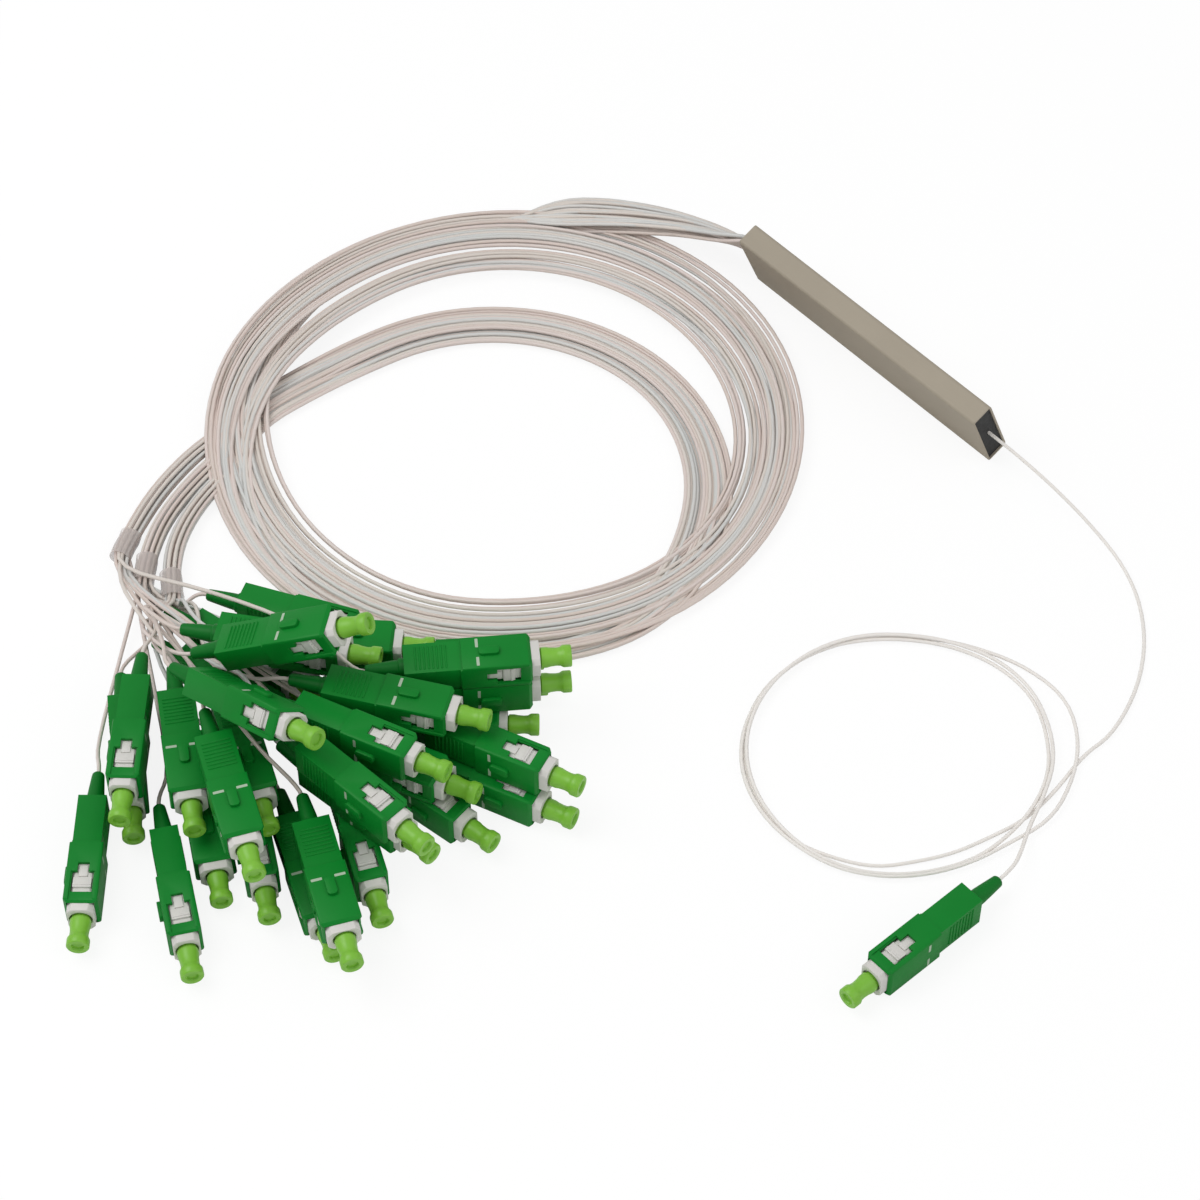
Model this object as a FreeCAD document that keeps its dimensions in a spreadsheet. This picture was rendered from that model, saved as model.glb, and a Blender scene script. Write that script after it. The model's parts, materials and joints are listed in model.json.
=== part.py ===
import FreeCAD, Part
import Sketcher
import math
import os

# A 1 by 32 planar fibre splitter: a flat steel module with one lead at its input end and a bundle of 32
# leads at its output end, every lead in a push-pull plug with a dust cap.
#
# Frame: origin at the middle of the module's footprint, +X along the module from the output end to the
# input end, +Z up. The module stands on its narrow side and leans towards -Y.
# A plug's own frame: +X forward out of the plug, +Z out of the key face, the windows on the Y faces,
# the origin at the middle of the grip.

SIZES = {
    # module tube
    "tube_length": 80.0,
    "tube_width": 6.0,
    "tube_height": 20.0,
    "tube_wall": 0.5,
    "tube_bend": 0.8,
    "lean_angle": 22.0,
    # end seals
    "seal_length": 6.0,
    "seal_recess": 0.4,
    "seal_gap": 0.02,
    # inner case round the waveguide
    "case_length": 50.0,
    "case_width": 4.0,
    "case_height": 7.6,
    "case_wall": 0.3,
    "case_boot_length": 5.0,
    "case_gap": 0.02,
    "pad_length": 6.0,
    "pad_inset": 7.0,
    # waveguide and fibre arrays
    "chip_length": 20.0,
    "chip_height": 5.6,
    "chip_width": 2.0,
    "array_gap": 1.0,
    "array_width": 2.2,
    "input_array_height": 2.6,
    "output_array_height": 5.2,
    "bare_fibre": 0.25,
    "ribbon_width": 0.3,
    "ribbon_height": 4.2,
    "ribbon_fan_height": 13.0,
    # leads
    "lead_diameter": 0.9,
    "lead_depth": 3.0,
    "lead_out": 8.0,
    "bundle_diameter": 4.6,
    "bundle_out": 7.4,
    "trunk_diameter": 3.8,
    "tape_wall": 0.12,
    "tape_length": 7.0,
    # output coil, wound on the floor
    "coil_x": -44.0,
    "coil_y": -76.0,
    "coil_radius": 63.5,
    "coil_half_width": 8.5,
    "coil_half_height": 3.0,
    "turn_x": -32.0,
    "turn_y": -94.0,
    "turn_radius": 57.0,
    "turn_half_width": 5.0,
    "turn_half_height": 2.4,
    "turn_start": 28.0,
    "turn_sweep": 192.0,
    # input coil
    "small_coil_x": 89.6,
    "small_coil_y": -76.5,
    "small_coil_radius": 34.4,
    "small_coil_half_width": 4.4,
    "small_coil_half_height": 1.35,
    # plug grip
    "grip_length": 28.0,
    "grip_width": 9.0,
    "grip_height": 7.4,
    "grip_front": 15.7,
    "grip_inset_side": 0.4,
    "grip_inset_face": 0.6,
    "grip_step": 0.6,
    "grip_chamfer": 0.8,
    "grip_end_wall": 1.2,
    "slide_gap": 0.08,
    "rib_count": 6.0,
    "rib_pitch": 1.35,
    "rib_length": 0.6,
    "rib_height": 0.24,
    "rib_start": 2.4,
    "key_length": 4.5,
    "key_width": 2.2,
    "key_height": 0.8,
    "key_back": 11.5,
    "window_front": 2.6,
    "window_length": 5.2,
    "window_height": 4.6,
    "notch_length": 2.2,
    "notch_height": 2.5,
    "window_depth": 0.7,
    "channel_depth": 0.35,
    "channel_height": 5.2,
    # plug frame
    "frame_width": 7.2,
    "frame_height": 5.8,
    "frame_nose": 1.8,
    "frame_back": 1.0,
    "frame_chamfer": 1.1,
    "frame_bore": 5.0,
    "shoulder_front": 8.4,
    "shoulder_length": 1.0,
    "shoulder_bore": 2.6,
    "lug_length": 2.6,
    "lug_height": 4.0,
    "lug_proud": 0.65,
    # ferrule, its flange and the spring
    "ferrule_diameter": 2.5,
    "ferrule_length": 10.5,
    "ferrule_tip": 15.9,
    "ferrule_bevel": 0.35,
    "ferrule_angle": 8.0,
    "ferrule_seat": 2.0,
    "flange_diameter": 4.4,
    "flange_length": 3.0,
    "tail_diameter": 1.9,
    "tail_back": 8.0,
    "spring_diameter": 4.0,
    "spring_wire": 0.4,
    "spring_turns": 4.0,
    "spring_length": 7.0,
    # stop ring and boot
    "ring_insert": 2.5,
    "ring_collar": 5.2,
    "ring_inner": 4.2,
    "ring_bore": 2.04,
    "ring_floor": 1.6,
    "barrel_diameter": 3.6,
    "barrel_length": 6.0,
    "boot_length": 8.5,
    "boot_collar": 4.6,
    "boot_collar_length": 1.0,
    "boot_root": 3.8,
    "boot_tip": 2.6,
    "boot_cover": 4.4,
    # dust cap
    "cap_reach": 7.0,
    "cap_neck": 4.1,
    "cap_flange": 5.0,
    "cap_flange_length": 2.0,
    "cap_inside": 6.2,
    "cap_gap": 0.02,
    "cap_end_gap": 0.3,
    "cap_dimple": 2.6,
    "cap_dimple_depth": 0.6,
    # place of the input plug
    "plug_x": 128.0,
    "plug_y": -109.0,
    "plug_heading": -90.0,
}

# Output plugs where they lie in the heap: number, then x, y and z of the grip's middle, the heading, the
# pitch and the roll in degrees. Roll 0 has the key up and roll 90 a window up.
HEAP = {
    1: (-7, -173.6, 33.5, 38, 26, 0),
    2: (18, -142, 21.9, 54, 0, 0),
    3: (18.5, -142.5, 13.6, 54, 0, 90),
    4: (10, -142.3, 4.5, 53, 0, 90),
    5: (14.5, -161.5, 22.3, 34, 0, 0),
    6: (15.8, -149.8, 4.5, 48, 0, 90),
    7: (-1, -188.6, 29.6, 9, 14, -40),
    8: (17.2, -173.2, 22.7, 22, 0, 90),
    9: (34, -150, 13.6, 22, 0, 90),
    10: (34.5, -152.5, 4.5, 22, 0, 90),
    11: (20.5, -168.3, 12.8, 24, 0, 0),
    12: (26.5, -165.3, 4.5, 10, 0, 90),
    13: (27.5, -182.3, 22.7, 5, 0, 90),
    14: (25, -180, 13.6, 8, 0, 90),
    15: (-20.5, -206, 13.6, -43, 0, 90),
    16: (-11, -199, 12.8, -31, 0, 0),
    17: (-23, -206.4, 4.5, -33, 0, 90),
    18: (10.8, -202.3, 22, -24, 0, 0),
    19: (-2, -189.4, 12.8, -24, 0, 0),
    20: (-6.2, -229.3, 4.5, -42, 0, 90),
    21: (12.8, -220.2, 4.5, -28, 0, 90),
    22: (12.2, -198.6, 4.5, -29, 0, 90),
    23: (1.6, -203.4, 3.7, -29, 0, 0),
    24: (27.3, -195.9, 3.7, -23, 0, 0),
    25: (36.8, -197.3, 12.8, -25, 0, 0),
    26: (28, -182.5, 4.5, -25, 0, 90),
    27: (-12, -156.5, 12.8, 45, 0, 0),
    28: (-14.6, -168.7, 20.5, 38, 0, 0),
    29: (-28, -154, 4.5, 30, 0, 90),
    30: (3.6, -137.9, 4.5, 52, 0, -90),
    31: (-22.5, -178, 4.5, 12, 0, 90),
    32: (-28, -170.4, 4.5, 12, 0, 90),
}

# Routes of the leads where they aren't coiled, in millimetres.
BUNDLE_ROUTE = [(-59, -1, 8.6), (-71, -4.5, 6), (-83, -11, 4), (-93, -20.5, 3), (-100, -33, 3)]
INPUT_ROUTE = [(60, 1.5, 7), (72, 2, 3.4), (84, -0.5, 1.2), (95.5, -6, 0.6), (106, -15, 0.6),
               (114, -27, 0.7), (118.6, -40, 0.9), (120, -53.5, 1.3)]
INPUT_TAIL_ROUTE = [(126.9, -67.5, 1.2), (128.6, -73, 1.6), (128.4, -78, 3.1), (128, -82.6, 4.5)]
TRUNK_ROUTES = {
    1: [(-83, -128, 3), (-84.5, -140, 2.5), (-81.5, -154, 2.1), (-75.5, -166, 2.1), (-69, -176.5, 2.1)],
    2: [(-78, -133, 3), (-78.5, -145, 2.5), (-74, -158, 2.1), (-67, -168, 2.1), (-59.5, -175.5, 2.1)],
    3: [(-72.5, -137, 3), (-72, -149, 2.5), (-67, -159.5, 2.1), (-59.5, -167, 2.1), (-51, -172.5, 2.1)],
}

doc = FreeCAD.newDocument("fibre_splitter")


def fill_sheet(values):
    """Writes every driving size to the sheet, one aliased cell each."""
    page = doc.addObject("Spreadsheet::Sheet", "Sizes")
    for row, (alias, value) in enumerate(values.items(), start=1):
        page.set("A%d" % row, alias)
        page.set("B%d" % row, str(value))
        page.setAlias("B%d" % row, alias)
    doc.recompute()
    return page


sheet = fill_sheet(SIZES)


def size(alias):
    """One driving size, read from the sheet."""
    return float(sheet.get(alias))


def on_sheet(expression):
    """The expression with each size's name pointed at the sheet."""
    words = []
    word = ""
    for mark in str(expression) + " ":
        if mark.isalnum() or mark == "_":
            word += mark
            continue
        words.append("Sizes." + word if word in SIZES else word)
        words.append(mark)
        word = ""
    return "".join(words).strip()


def primitive(kind, name, at=(0, 0, 0), turn=None, **sizes):
    """A primitive solid whose sizes and place are bound to the sheet."""
    solid = doc.addObject("Part::" + kind, name)
    if turn is not None:
        solid.Placement = FreeCAD.Placement(FreeCAD.Vector(), turn)
    for prop, expression in sizes.items():
        solid.setExpression(prop, on_sheet(expression))
    for axis, expression in zip("xyz", at):
        solid.setExpression("Placement.Base." + axis, on_sheet(expression))
    return solid


def block(name, x, y, z):
    """A box from three pairs of expressions, its low and high side along each axis."""
    lengths = {prop: "(%s) - (%s)" % (high, low)
               for prop, (low, high) in zip(("Length", "Width", "Height"), (x, y, z))}
    return primitive("Box", name, at=(x[0], y[0], z[0]), **lengths)


def fuse(name, *shapes):
    """One solid from several that meet."""
    joined = doc.addObject("Part::MultiFuse", name)
    joined.Shapes = list(shapes)
    joined.Refine = True
    return joined


def cut(name, base, *tools):
    """The base with every tool taken out of it."""
    tool = tools[0] if len(tools) == 1 else fuse(name + "_tools", *tools)
    left = doc.addObject("Part::Cut", name)
    left.Base = base
    left.Tool = tool
    left.Refine = True
    return left


def profile(body, name, corners, plane="XY_Plane"):
    """A closed sketch through the corners, each held from the origin by two bound distances."""
    sketch = body.newObject("Sketcher::SketchObject", name)
    origin_plane = [f for f in body.Origin.OriginFeatures if f.Role == plane][0]
    sketch.AttachmentSupport = [(origin_plane, "")]
    sketch.MapMode = "FlatFace"
    scratch = doc.addObject("Part::Box", name + "_reader")
    points = []
    for corner in corners:
        values = []
        for expression in corner:
            scratch.setExpression("Placement.Base.x", on_sheet(expression))
            scratch.recompute()
            values.append(scratch.Placement.Base.x)
        points.append(FreeCAD.Vector(values[0], values[1], 0))
    doc.removeObject(scratch.Name)
    count = len(points)
    for index, point in enumerate(points):
        sketch.addGeometry(Part.LineSegment(point, points[(index + 1) % count]))
    for index in range(count):
        sketch.addConstraint(Sketcher.Constraint("Coincident", index, 2, (index + 1) % count, 1))
    for index, corner in enumerate(corners):
        for kind, value, expression in zip(("DistanceX", "DistanceY"), points[index], corner):
            number = sketch.addConstraint(Sketcher.Constraint(kind, -1, 1, index, 1, value))
            sketch.setExpression("Constraints[%d]" % number, on_sheet(expression))
    return sketch


def turned(name, corners):
    """A body of revolution about X from a half profile of (x, radius) corners."""
    body = doc.addObject("PartDesign::Body", name)
    sketch = profile(body, name + "_profile", corners)
    spun = body.newObject("PartDesign::Revolution", name + "_turn")
    spun.Profile = sketch
    spun.ReferenceAxis = (sketch, ["H_Axis"])
    spun.Angle = 360
    sketch.Visibility = False
    return body


def padded(name, corners, length, plane="XY_Plane"):
    """A body with the profile padded to both sides of its plane."""
    body = doc.addObject("PartDesign::Body", name)
    sketch = profile(body, name + "_profile", corners, plane)
    pad = body.newObject("PartDesign::Pad", name + "_pad")
    pad.Profile = sketch
    pad.Midplane = True
    pad.setExpression("Length", on_sheet(length))
    sketch.Visibility = False
    return body


def feature(name, shape):
    """A sub-part whose shape the code works out from the sheet."""
    part = doc.addObject("Part::Feature", name)
    part.Shape = shape
    return part


ALONG_X = FreeCAD.Rotation(FreeCAD.Vector(0, 1, 0), 90)


def rod(name, low, high, diameter):
    """A round bar along X between two expressions."""
    return primitive("Cylinder", name, at=(low, 0, 0), turn=ALONG_X, Radius="(%s) / 2" % diameter,
                     Height="(%s) - (%s)" % (high, low))


# Cords: runs joined by tangent arcs

def cord_path(points, name):
    """The wire of straight runs and tangent arcs through a route, with its length and radii."""
    corners = [FreeCAD.Vector(*point) for point in points]
    edges = []
    radii = []
    start = corners[0]
    for before, corner, after in zip(corners, corners[1:], corners[2:]):
        back = (before - corner)
        ahead = (after - corner)
        shorter = min(back.Length, ahead.Length)
        back.normalize()
        ahead.normalize()
        turn = math.pi - back.getAngle(ahead)
        reach = 0.45 * shorter
        radius = reach / math.tan(turn / 2)
        radii.append(radius)
        first = corner + back * reach
        last = corner + ahead * reach
        inward = back + ahead
        inward.normalize()
        middle = corner + inward * (radius / math.cos(turn / 2) - radius)
        edges.append(Part.LineSegment(start, first).toShape())
        edges.append(Part.Arc(first, middle, last).toShape())
        start = last
    edges.append(Part.LineSegment(start, corners[-1]).toShape())
    wire = Part.Wire(edges)
    if radii:
        print("%s: length %.1f mm, radii %s" % (name, wire.Length, [round(radius, 1) for radius in radii]))
    return wire


def cord_tube(points, diameter, name):
    """A round tube along a route, its volume held against its section times its length."""
    wire = cord_path(points, name)
    ahead = FreeCAD.Vector(*points[1]) - FreeCAD.Vector(*points[0])
    circle = Part.Wire(Part.makeCircle(diameter / 2, FreeCAD.Vector(*points[0]), ahead))
    tube = wire.makePipeShell([circle], True, False)
    expected = math.pi * diameter ** 2 / 4 * wire.Length
    if abs(tube.Volume - expected) > 0.02 * expected:
        raise ValueError("%s: tube volume %.2f, expected %.2f" % (name, tube.Volume, expected))
    return tube


# Module

def module_rest():
    """The module's place: it leans about its length and rests on one long bent edge."""
    lean = math.radians(size("lean_angle"))
    bend = size("tube_bend")
    rise = ((size("tube_height") / 2 - bend) * math.cos(lean)
            + (size("tube_width") / 2 - bend) * math.sin(lean) + bend)
    turn = FreeCAD.Rotation(FreeCAD.Vector(1, 0, 0), size("lean_angle"))
    return FreeCAD.Placement(FreeCAD.Vector(0, 0, rise), turn)


def rounded_bar(name, length, width, height, radius):
    """A bar along X, centred, with its four long edges rounded."""
    bar = block(name + "_bar", ("-(%s) / 2" % length, "(%s) / 2" % length),
                ("-(%s) / 2" % width, "(%s) / 2" % width), ("-(%s) / 2" % height, "(%s) / 2" % height))
    doc.recompute()
    rounded = doc.addObject("Part::Fillet", name)
    rounded.Base = bar
    rounded.Edges = [(number, radius, radius) for number, edge in enumerate(bar.Shape.Edges, start=1)
                     if abs(edge.tangentAt(0).x) > 0.99]
    return rounded


def module_tube():
    """Steel tube with bent corners, open at both ends."""
    bend = size("tube_bend")
    outer = rounded_bar("tube_outer", "tube_length", "tube_width", "tube_height", bend)
    inner = rounded_bar("tube_inner", "tube_length + 2", "tube_width - 2 * tube_wall",
                        "tube_height - 2 * tube_wall", bend - size("tube_wall"))
    return cut("module_tube", outer, inner)


def seal_block(name):
    """Potting that fills the tube's mouth, just short of its walls."""
    return rounded_bar(name, "seal_length", "tube_width - 2 * tube_wall - 2 * seal_gap",
                       "tube_height - 2 * tube_wall - 2 * seal_gap", size("tube_bend") - size("tube_wall"))


SEAL_MIDDLE = "(tube_length / 2 - seal_recess - seal_length / 2)"


def input_end_seal():
    """Potting with the stepped hole of the input lead and its bare fibre."""
    body = seal_block("input_seal_block")
    body.setExpression("Placement.Base.x", on_sheet(SEAL_MIDDLE))
    hole = rod("input_seal_hole", SEAL_MIDDLE + " + seal_length / 2 - lead_depth",
               SEAL_MIDDLE + " + seal_length / 2 + 1", "lead_diameter")
    core = rod("input_seal_core", SEAL_MIDDLE + " - seal_length / 2 - 1", SEAL_MIDDLE + " + seal_length / 2",
               "bare_fibre")
    return cut("input_end_seal", body, hole, core)


def output_end_seal():
    """Potting that the bundle leaves by its outer face and the ribbon reaches by its inner face."""
    body = seal_block("output_seal_block")
    body.setExpression("Placement.Base.x", on_sheet("-" + SEAL_MIDDLE))
    return body


def inner_case():
    """Thin steel case round the waveguide, open at both ends for its rubber boots."""
    outer = block("case_outer", ("-case_length / 2", "case_length / 2"), ("-case_width / 2", "case_width / 2"),
                  ("-case_height / 2", "case_height / 2"))
    inner = block("case_inner", ("-case_length / 2 - 1", "case_length / 2 + 1"),
                  ("-case_width / 2 + case_wall", "case_width / 2 - case_wall"),
                  ("-case_height / 2 + case_wall", "case_height / 2 - case_wall"))
    return cut("inner_case", outer, inner)


def case_boots():
    """Two rubber plugs in the ends of the inner case, one with a round hole and one with a slot."""
    half_width = "case_width / 2 - case_wall - case_gap"
    half_height = "case_height / 2 - case_wall - case_gap"
    plugs = []
    for side, sign in (("input", ""), ("output", "-")):
        low, high = "case_length / 2 - case_boot_length", "case_length / 2"
        span = (low, high) if sign == "" else ("-(%s)" % high, "-(%s)" % low)
        plug = block(side + "_case_plug", span, ("-(%s)" % half_width, half_width),
                     ("-(%s)" % half_height, half_height))
        if side == "input":
            hole = rod(side + "_case_hole", low + " - 1", high + " + 1", "bare_fibre")
        else:
            hole = block(side + "_case_hole", ("-(%s) - 1" % high, "-(%s) + 1" % low),
                         ("-ribbon_width / 2", "ribbon_width / 2"), ("-ribbon_height / 2", "ribbon_height / 2"))
        plugs.append(cut(side + "_case_boot", plug, hole))
    return fuse("case_boots", *plugs)


def case_pads():
    """Silicone pads that hold the inner case between the tube's wide walls."""
    half = "tube_width / 2 - tube_wall - case_gap"
    pads = []
    for side, middle in (("near", "-case_length / 2 + pad_inset"), ("far", "case_length / 2 - pad_inset")):
        for face, sign in (("front", "-"), ("back", "")):
            span = ("-(%s)" % half, "-case_width / 2") if sign == "-" else ("case_width / 2", half)
            pads.append(block("pad_%s_%s" % (side, face), (middle + " - pad_length / 2", middle + " + pad_length / 2"),
                              span, ("-case_height / 2", "case_height / 2")))
    return fuse("case_pads", *pads)


# The arrays are bonded to both ends of the waveguide and stop short of the case's rubber plugs.
CHIP_OUTPUT_END = "(-chip_length / 2)"
CHIP_INPUT_END = "(chip_length / 2)"
ARRAY_REACH = "(case_length / 2 - case_boot_length - array_gap)"


def plc_chip():
    """The silica waveguide and its lid, one bonded block."""
    return block("plc_chip", (CHIP_OUTPUT_END, CHIP_INPUT_END), ("-case_width / 2 + case_wall", "chip_width / 2"),
                 ("-chip_height / 2", "chip_height / 2"))


def input_fibre_array():
    """Glass block with the hole of the one bare fibre."""
    body = block("input_array_block", (CHIP_INPUT_END, ARRAY_REACH),
                 ("-array_width / 2", "array_width / 2"), ("-input_array_height / 2", "input_array_height / 2"))
    hole = rod("input_array_hole", CHIP_INPUT_END + " + 1", ARRAY_REACH + " + 1", "bare_fibre")
    return cut("input_fibre_array", body, hole)


def output_fibre_array():
    """Glass block with the slot that holds the 32 bare fibres."""
    body = block("output_array_block", ("-" + ARRAY_REACH, CHIP_OUTPUT_END),
                 ("-array_width / 2", "array_width / 2"), ("-output_array_height / 2", "output_array_height / 2"))
    slot = block("output_array_slot",
                 ("-%s - 1" % ARRAY_REACH, CHIP_OUTPUT_END + " - 1"),
                 ("-ribbon_width / 2", "ribbon_width / 2"), ("-ribbon_height / 2", "ribbon_height / 2"))
    return cut("output_fibre_array", body, slot)


def input_bare_fibre():
    """Bare fibre from the input seal to its array."""
    return rod("input_bare_fibre", CHIP_INPUT_END + " + 1", SEAL_MIDDLE + " + seal_length / 2 - lead_depth",
               "bare_fibre")


def output_ribbon():
    """Flat ribbon of bare fibres, straight out of its array and fanned out up to the output seal."""
    half = "ribbon_height / 2"
    fan = "ribbon_fan_height / 2"
    straight = "-case_length / 2"
    seal_face = "-" + SEAL_MIDDLE + " + seal_length / 2"
    corners = [(CHIP_OUTPUT_END + " - 1", half), (straight, half), (seal_face, fan),
               (seal_face, "-" + fan), (straight, "-" + half), (CHIP_OUTPUT_END + " - 1", "-" + half)]
    return padded("output_ribbon", corners, "ribbon_width", plane="XZ_Plane")


# Plug pieces that the input plug and the output plugs share

GRIP_BACK = "(-grip_length / 2)"
GRIP_MOUTH = "(grip_length / 2)"
GRIP_STEP_AT = "(grip_length / 2 - grip_front)"


def grip_outside(name):
    """The grip's outer form: a wide front, a slimmer rear and chamfered front edges."""
    half = "grip_height / 2"
    slim = "(grip_height / 2 - grip_inset_face)"
    corners = [(GRIP_BACK, slim), (GRIP_STEP_AT, slim), (GRIP_STEP_AT + " + grip_step", half),
               (GRIP_MOUTH + " - grip_chamfer", half), (GRIP_MOUTH, half + " - grip_chamfer")]
    corners += [(x, "-(%s)" % z) for x, z in reversed(corners)]
    full = padded(name + "_full", corners, "grip_width", plane="XZ_Plane")
    sides = []
    for side, low, high in (("left", "grip_width / 2 - grip_inset_side", "grip_width / 2 + 1"),
                            ("right", "-grip_width / 2 - 1", "-grip_width / 2 + grip_inset_side")):
        sides.append(block("%s_%s_inset" % (name, side), (GRIP_BACK + " - 1", GRIP_STEP_AT), (low, high),
                           ("-grip_height", "grip_height")))
    return cut(name + "_outside", full, *sides)


def window_cutters(name, depth, notched=True):
    """Each window, wide behind the front bar, with its narrow notch behind that where asked."""
    cutters = []
    for side, low, high in (("left", "grip_width / 2 - %s" % depth, "grip_width / 2 + 1"),
                            ("right", "-grip_width / 2 - 1", "-grip_width / 2 + %s" % depth)):
        front = GRIP_MOUTH + " - window_front"
        back = front + " - window_length"
        cutters.append(block("%s_%s_window" % (name, side), (back, front), (low, high),
                             ("-window_height / 2", "window_height / 2")))
        if notched:
            cutters.append(block("%s_%s_notch" % (name, side), (back + " - notch_length", back), (low, high),
                                 ("-notch_height / 2", "notch_height / 2")))
    return cutters


def key_block(name):
    """The key that stands on one wide face."""
    return block(name, (GRIP_MOUTH + " - key_back", GRIP_MOUTH + " - key_back + key_length"),
                 ("-key_width / 2", "key_width / 2"), ("grip_height / 2 - 0.3", "grip_height / 2 + key_height"))


def frame_outline(name, length):
    """The plug frame's square section with its four corners cut off, padded along X."""
    wide, high, corner = "frame_width / 2", "frame_height / 2", "frame_chamfer"
    right = [(wide, "-(%s - %s)" % (high, corner)), (wide, "%s - %s" % (high, corner)),
             ("%s - %s" % (wide, corner), high)]
    left = [("-(%s)" % y, z) for y, z in reversed(right)]
    corners = right + left + [("-(%s - %s)" % (wide, corner), "-(%s)" % high), ("%s - %s" % (wide, corner), "-(%s)" % high)]
    return padded(name, corners, length, plane="YZ_Plane")


# Input plug

def input_grip():
    """Push-pull grip: a hollow shell with a window, a channel and a bar on each side, a key and ribs."""
    shell = fuse("grip_shell", grip_outside("grip"), key_block("grip_key"), *grip_ribs())
    front = block("grip_front_bore", ("-frame_back - 1.4", GRIP_MOUTH + " + 1"),
                  ("-frame_width / 2 - slide_gap", "frame_width / 2 + slide_gap"),
                  ("-frame_height / 2 - slide_gap", "frame_height / 2 + slide_gap"))
    rear = rod("grip_rear_bore", GRIP_BACK + " + grip_end_wall", "-frame_back", "ring_collar + 0.4")
    mouth = rod("grip_boot_bore", GRIP_BACK + " - 1", GRIP_BACK + " + grip_end_wall + 1", "boot_collar + 0.3")
    channels = []
    for side, low, high in (("left", "grip_width / 2 - channel_depth", "grip_width / 2 + 1"),
                            ("right", "-grip_width / 2 - 1", "-grip_width / 2 + channel_depth")):
        channels.append(block("grip_%s_channel" % side, (GRIP_MOUTH + " - window_front - window_length", GRIP_MOUTH + " + 1"),
                              (low, high), ("-channel_height / 2", "channel_height / 2")))
    wall = "(grip_width / 2 - frame_width / 2)"
    return cut("input_grip", shell, front, rear, mouth, *channels, *window_cutters("grip", wall))


def grip_ribs():
    """Finger ribs across both wide faces of the slimmer rear."""
    ribs = []
    for number in range(int(size("rib_count"))):
        low = GRIP_BACK + " + rib_start + %d * rib_pitch" % number
        for face, span in (("top", ("grip_height / 2 - grip_inset_face - 0.2",
                                    "grip_height / 2 - grip_inset_face + rib_height")),
                           ("bottom", ("-grip_height / 2 + grip_inset_face - rib_height",
                                       "-grip_height / 2 + grip_inset_face + 0.2"))):
            ribs.append(block("rib_%s_%d" % (face, number + 1), (low, low + " + rib_length"),
                              ("-grip_width / 2 + grip_inset_side", "grip_width / 2 - grip_inset_side"), span))
    return ribs


FRAME_FRONT = "(grip_length / 2 + frame_nose)"
FRAME_BACK = "(-frame_back)"


def input_plug_frame():
    """White frame: the ferrule's well in front, a shoulder, the spring's well behind, and two lugs."""
    body = frame_outline("frame_bar", "%s - %s" % (FRAME_FRONT, FRAME_BACK))
    body.setExpression("Placement.Base.x", on_sheet("(%s + %s) / 2" % (FRAME_FRONT, FRAME_BACK)))
    lug_middle = GRIP_MOUTH + " - window_front - window_length / 2"
    lug = block("frame_lugs", (lug_middle + " - lug_length / 2", lug_middle + " + lug_length / 2"),
                ("-frame_width / 2 - lug_proud", "frame_width / 2 + lug_proud"), ("-lug_height / 2", "lug_height / 2"))
    front_well = rod("frame_front_well", "shoulder_front", FRAME_FRONT + " + 1", "frame_bore")
    middle_bore = rod("frame_middle_bore", "shoulder_front - shoulder_length - 1", "shoulder_front + 1", "shoulder_bore")
    back_well = rod("frame_back_well", FRAME_BACK + " - 1", "shoulder_front - shoulder_length", "frame_bore")
    return cut("input_plug_frame", fuse("frame_with_lugs", body, lug), front_well, middle_bore, back_well)


FERRULE_BACK = "(ferrule_tip - ferrule_length)"
FLANGE_FRONT = "(shoulder_front - shoulder_length)"
FLANGE_BACK = "(shoulder_front - shoulder_length - flange_length)"


def input_ferrule():
    """Ceramic ferrule with a bevelled tip polished at an angle."""
    bar = turned("ferrule_bar", [(FERRULE_BACK, "0"), (FERRULE_BACK, "ferrule_diameter / 2"),
                                 ("ferrule_tip - ferrule_bevel", "ferrule_diameter / 2"),
                                 ("ferrule_tip", "ferrule_diameter / 2 - ferrule_bevel"), ("ferrule_tip", "0")])
    tilt = FreeCAD.Rotation(FreeCAD.Vector(0, 1, 0), -size("ferrule_angle"))
    polish = primitive("Box", "ferrule_polish", turn=tilt, Length="ferrule_diameter", Width="2 * ferrule_diameter",
                       Height="4 * ferrule_diameter",
                       at=("ferrule_tip + 1.5 * ferrule_diameter * tan(ferrule_angle * 1 deg)", "-ferrule_diameter",
                           "-2 * ferrule_diameter"))
    return cut("input_ferrule", bar, polish)


def ferrule_flange():
    """Hub pressed on the ferrule's back, with a long tail through the spring."""
    tail_end = FLANGE_BACK + " - tail_back"
    seat_end = FERRULE_BACK
    corners = [(tail_end, "lead_diameter / 2"), (tail_end, "tail_diameter / 2"), (FLANGE_BACK, "tail_diameter / 2"),
               (FLANGE_BACK, "flange_diameter / 2"), (FLANGE_FRONT, "flange_diameter / 2"),
               (FLANGE_FRONT, "ferrule_diameter / 2"), (seat_end, "ferrule_diameter / 2"),
               (seat_end, "lead_diameter / 2")]
    return turned("ferrule_flange", corners)


RING_FRONT = "(ring_insert - frame_back)"
SPRING_BACK = "(shoulder_front - shoulder_length - flange_length - spring_length)"


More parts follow.
